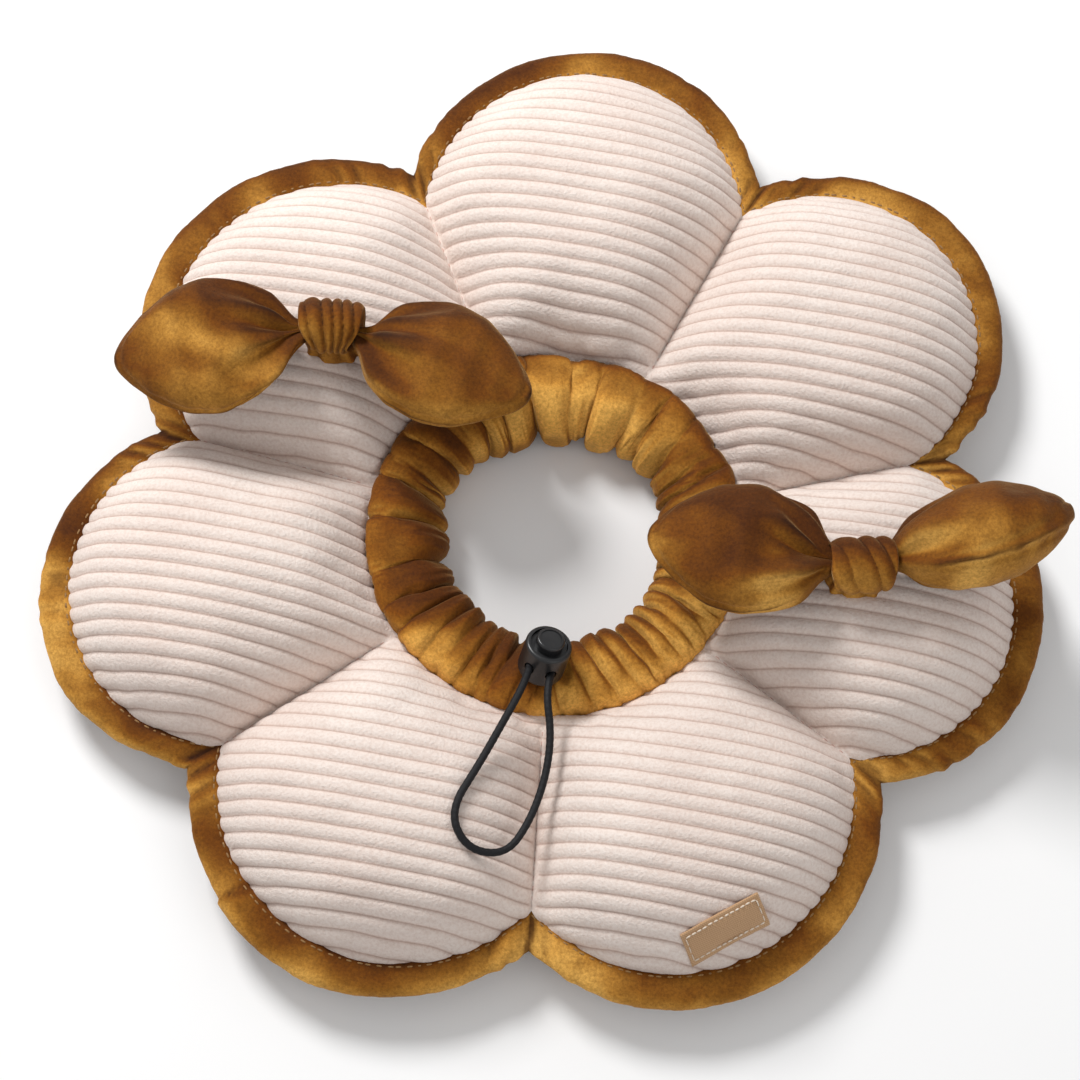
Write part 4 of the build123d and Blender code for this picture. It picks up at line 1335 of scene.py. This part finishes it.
def braided_cord(name, line):
    """A braided elastic cord along the line: crossing strands stand out of its round section."""
    arc = stations_between(line)
    count = round(arc[-1] / CORD_STEP)
    at = np.linspace(0, arc[-1], count + 1)
    centre = np.stack([np.interp(at, arc, line[:, i]) for i in range(3)], 1)
    for _ in range(4):
        centre[1:-1] = (centre[:-2] + 2 * centre[1:-1] + centre[2:]) / 4
    tangent = np.gradient(centre, axis=0)
    tangent /= np.linalg.norm(tangent, axis=1, keepdims=True)
    side = np.cross(tangent[0], (0, 0, 1.0))
    points = []
    for k in range(count + 1):
        side = side - tangent[k] * side.dot(tangent[k])
        side /= np.linalg.norm(side)
        above = np.cross(side, tangent[k])
        for s in range(CORD_SIDES):
            a = 2 * math.pi * s / CORD_SIDES
            run = math.pi * at[k] / BRAID_PITCH
            braid = math.sin(run + BRAID_STRANDS / 2 * a) * math.sin(run - BRAID_STRANDS / 2 * a)
            radius = CORD_DIAMETER / 2 * (0.985 + 0.055 * braid)
            points.append(centre[k] + radius * (math.cos(a) * side + math.sin(a) * above))
    faces = tube_faces(count + 1, CORD_SIDES)
    faces.append(tuple(reversed(range(CORD_SIDES))))
    faces.append(tuple(count * CORD_SIDES + s for s in range(CORD_SIDES)))
    return mesh_object(name, points, [face[::-1] for face in faces]), centre, arc[-1]


def lying_on_petals(line):
    """Lifts the cord's line where it would press into the petals, with a gentle run up on both sides."""
    need = np.zeros(len(line))
    for index, point in enumerate(line):
        if math.hypot(point[0], point[1]) > NECK_SEAM_RADIUS + 1 * MM:
            place, normal = drop(smooth_cover, point[0], point[1])
            clear = (CORD_DIAMETER / 2 + WALE_HEIGHT + 0.5 * MM) / max(normal[2], 0.5)
            need[index] = max(0.0, place[2] + clear - point[2])
    lift = need.copy()
    for _ in range(400):
        lift[1:-1] = np.maximum(need[1:-1], (lift[:-2] + 2 * lift[1:-1] + lift[2:]) / 4)
    line[:, 2] += lift
    return line


smooth_cover = tree_of(coarse_shape, coarse_triangles)
loop_route = lying_on_petals(curve_points(LOOP_ROUTE))
loop, loop_line, loop_length = braided_cord("drawcord_loop_braided", loop_route)
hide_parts("drawcord_loop")
finished(loop, ELASTIC, "drawcord")

# The pieces that stay as they are in the part, with their material and slot.
KEPT_PIECES = {
    "drawcord_leads": (ELASTIC, "elastic_cord"),
    "drawcord_strands": (ELASTIC, "elastic_cord"),
    "drawcord_sleeve_run": (ELASTIC, "elastic_cord"),
    "cord_lock_barrel": (BLACK_PLASTIC, "lock_plastic"),
    "cord_lock_button": (BLACK_PLASTIC, "lock_plastic"),
    "cord_lock_spring": (SPRING_STEEL, "spring_steel"),
    "left_bow_thread_shank": (GOLD_THREAD, "thread"),
    "right_bow_thread_shank": (GOLD_THREAD, "thread"),
}
for name, (mat, slot) in KEPT_PIECES.items():
    finished(nodes[name], mat, None)


# ---- Woven label ----

LABEL_CENTRE = np.array((61.5, -131.0)) * MM
LABEL_LONG = 27.2 * MM
LABEL_WIDE = 9.2 * MM
LABEL_TURN = math.radians(31.0)
LABEL_THICKNESS = 0.6 * MM
label_x = np.array((math.cos(LABEL_TURN), math.sin(LABEL_TURN)))
label_y = np.array((-label_x[1], label_x[0]))


def on_label(u, v, lift):
    """A point of the label: u along it and v across it from its centre, lift above the rib tops."""
    spot = LABEL_CENTRE + label_x * u + label_y * v
    place, normal = drop(smooth_cover, *spot)
    return place + normal * (WALE_HEIGHT + 0.5 * MM + lift)


def make_label():
    columns, rows = 85, 31
    points, u_values, v_values = [], [], []
    for side in (1, -1):
        for j in range(rows):
            for i in range(columns):
                u = (i / (columns - 1) - 0.5) * LABEL_LONG
                v = (j / (rows - 1) - 0.5) * LABEL_WIDE
                edge = min(LABEL_LONG / 2 - abs(u), LABEL_WIDE / 2 - abs(v))
                rounding = 0.25 * MM * math.exp(-edge / (0.35 * MM))
                dent = 0.22 * MM * math.exp(-(((edge - 1.3 * MM) / (0.6 * MM)) ** 2))
                wave = 0.16 * MM * math.sin(u / (3.1 * MM) + 1.3) * math.sin(v / (2.7 * MM))
                top = LABEL_THICKNESS - rounding - dent + wave
                points.append(on_label(u, v, top if side > 0 else -0.3 * MM))
                u_values.append(u)
                v_values.append(v)
    faces = []
    sheet = rows * columns
    for j in range(rows - 1):
        for i in range(columns - 1):
            a = j * columns + i
            b, c, d = a + 1, a + columns + 1, a + columns
            faces += [(a, b, c, d), (sheet + a, sheet + d, sheet + c, sheet + b)]
    border = list(range(columns - 1))
    border += [j * columns + columns - 1 for j in range(rows - 1)]
    border += [(rows - 1) * columns + i for i in range(columns - 1, 0, -1)]
    border += [j * columns for j in range(rows - 1, 0, -1)]
    for a, b in zip(border, border[1:] + border[:1]):
        faces.append((a, sheet + a, sheet + b, b))
    return mesh_object("woven_label_tape", points, faces, {"tape_u": u_values, "tape_v": v_values})


label = make_label()
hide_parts("woven_label")
finished(label, LABEL_TAPE)

STITCH_INSET = 1.3 * MM
BORDER_PITCH = 1.9 * MM
half_u, half_v = LABEL_LONG / 2 - STITCH_INSET, LABEL_WIDE / 2 - STITCH_INSET
runs = []
corners = [(-half_u, -half_v), (half_u, -half_v), (half_u, half_v), (-half_u, half_v)]
for start, end in zip(corners, corners[1:] + corners[:1]):
    along = np.subtract(end, start)
    count = round(np.linalg.norm(along) / BORDER_PITCH)
    for k in range(count):
        shares = ((k + 0.08) / count, (k + 0.92) / count)
        ends = [on_label(*(start + along * share), LABEL_THICKNESS + 0.02 * MM) for share in shares]
        runs.append((*ends, (0, 0, 1)))
label_stitches = stitches("label_border_stitches", runs, 0.30 * MM, CREAM_THREAD)
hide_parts("label_stitching")


# ---- Stage, light and camera ----

mesh = bpy.data.meshes.new("floor")
mesh.from_pydata([(-3, -3, 0), (3, -3, 0), (3, 3, 0), (-3, 3, 0)], [], [(0, 1, 2, 3)])
floor = bpy.data.objects.new("floor", mesh)
floor.location.z = -0.0002
scene.collection.objects.link(floor)


def paper(m):
    m.surface(Base_Color=(0.93, 0.93, 0.93, 1.0), Roughness=0.9)


floor.data.materials.append(material("floor_paper", paper))

world = bpy.data.worlds.new("studio")
scene.world = world
world.use_nodes = True
background = world.node_tree.nodes["Background"].inputs
background["Color"].default_value = (1.0, 1.0, 1.0, 1.0)
background["Strength"].default_value = 0.52


def area_light(name, location, target, size, power):
    data = bpy.data.lights.new(name, "AREA")
    data.shape = "DISK"
    data.size = size
    data.energy = power
    light = bpy.data.objects.new(name, data)
    light.location = location
    light.rotation_euler = (Vector(target) - Vector(location)).to_track_quat("-Z", "Y").to_euler()
    scene.collection.objects.link(light)


area_light("window", (-0.55, 0.75, 0.95), (0, 0, 0.02), 0.45, 15.0)
area_light("fill", (0.9, -0.6, 1.1), (0, 0, 0.02), 1.0, 2.0)

CAMERA_ELEVATION = math.radians(73.0)
CAMERA_AZIMUTH = math.radians(3.5)
CAMERA_DISTANCE = 0.9
CAMERA_LENS = 88.65  # in millimetres, on a sensor 36 mm wide
SHIFT_LEFT, SHIFT_DOWN = 0.00525, 0.00575
camera_data = bpy.data.cameras.new("camera")
camera_data.sensor_width = 36.0
camera_data.lens = CAMERA_LENS
camera = bpy.data.objects.new("camera", camera_data)
back = Vector((
    math.sin(CAMERA_AZIMUTH) * math.cos(CAMERA_ELEVATION),
    -math.cos(CAMERA_AZIMUTH) * math.cos(CAMERA_ELEVATION),
    math.sin(CAMERA_ELEVATION),
))
right = (-back).cross(Vector((0, 0, 1))).normalized()
up = right.cross(-back)
aim = Vector((0.0, 0.0045, 0.015))
camera.location = aim + back * CAMERA_DISTANCE - right * SHIFT_LEFT - up * SHIFT_DOWN
camera.rotation_euler = (-back).to_track_quat("-Z", "Y").to_euler()
scene.collection.objects.link(camera)
scene.camera = camera
scene.view_settings.view_transform = "Standard"
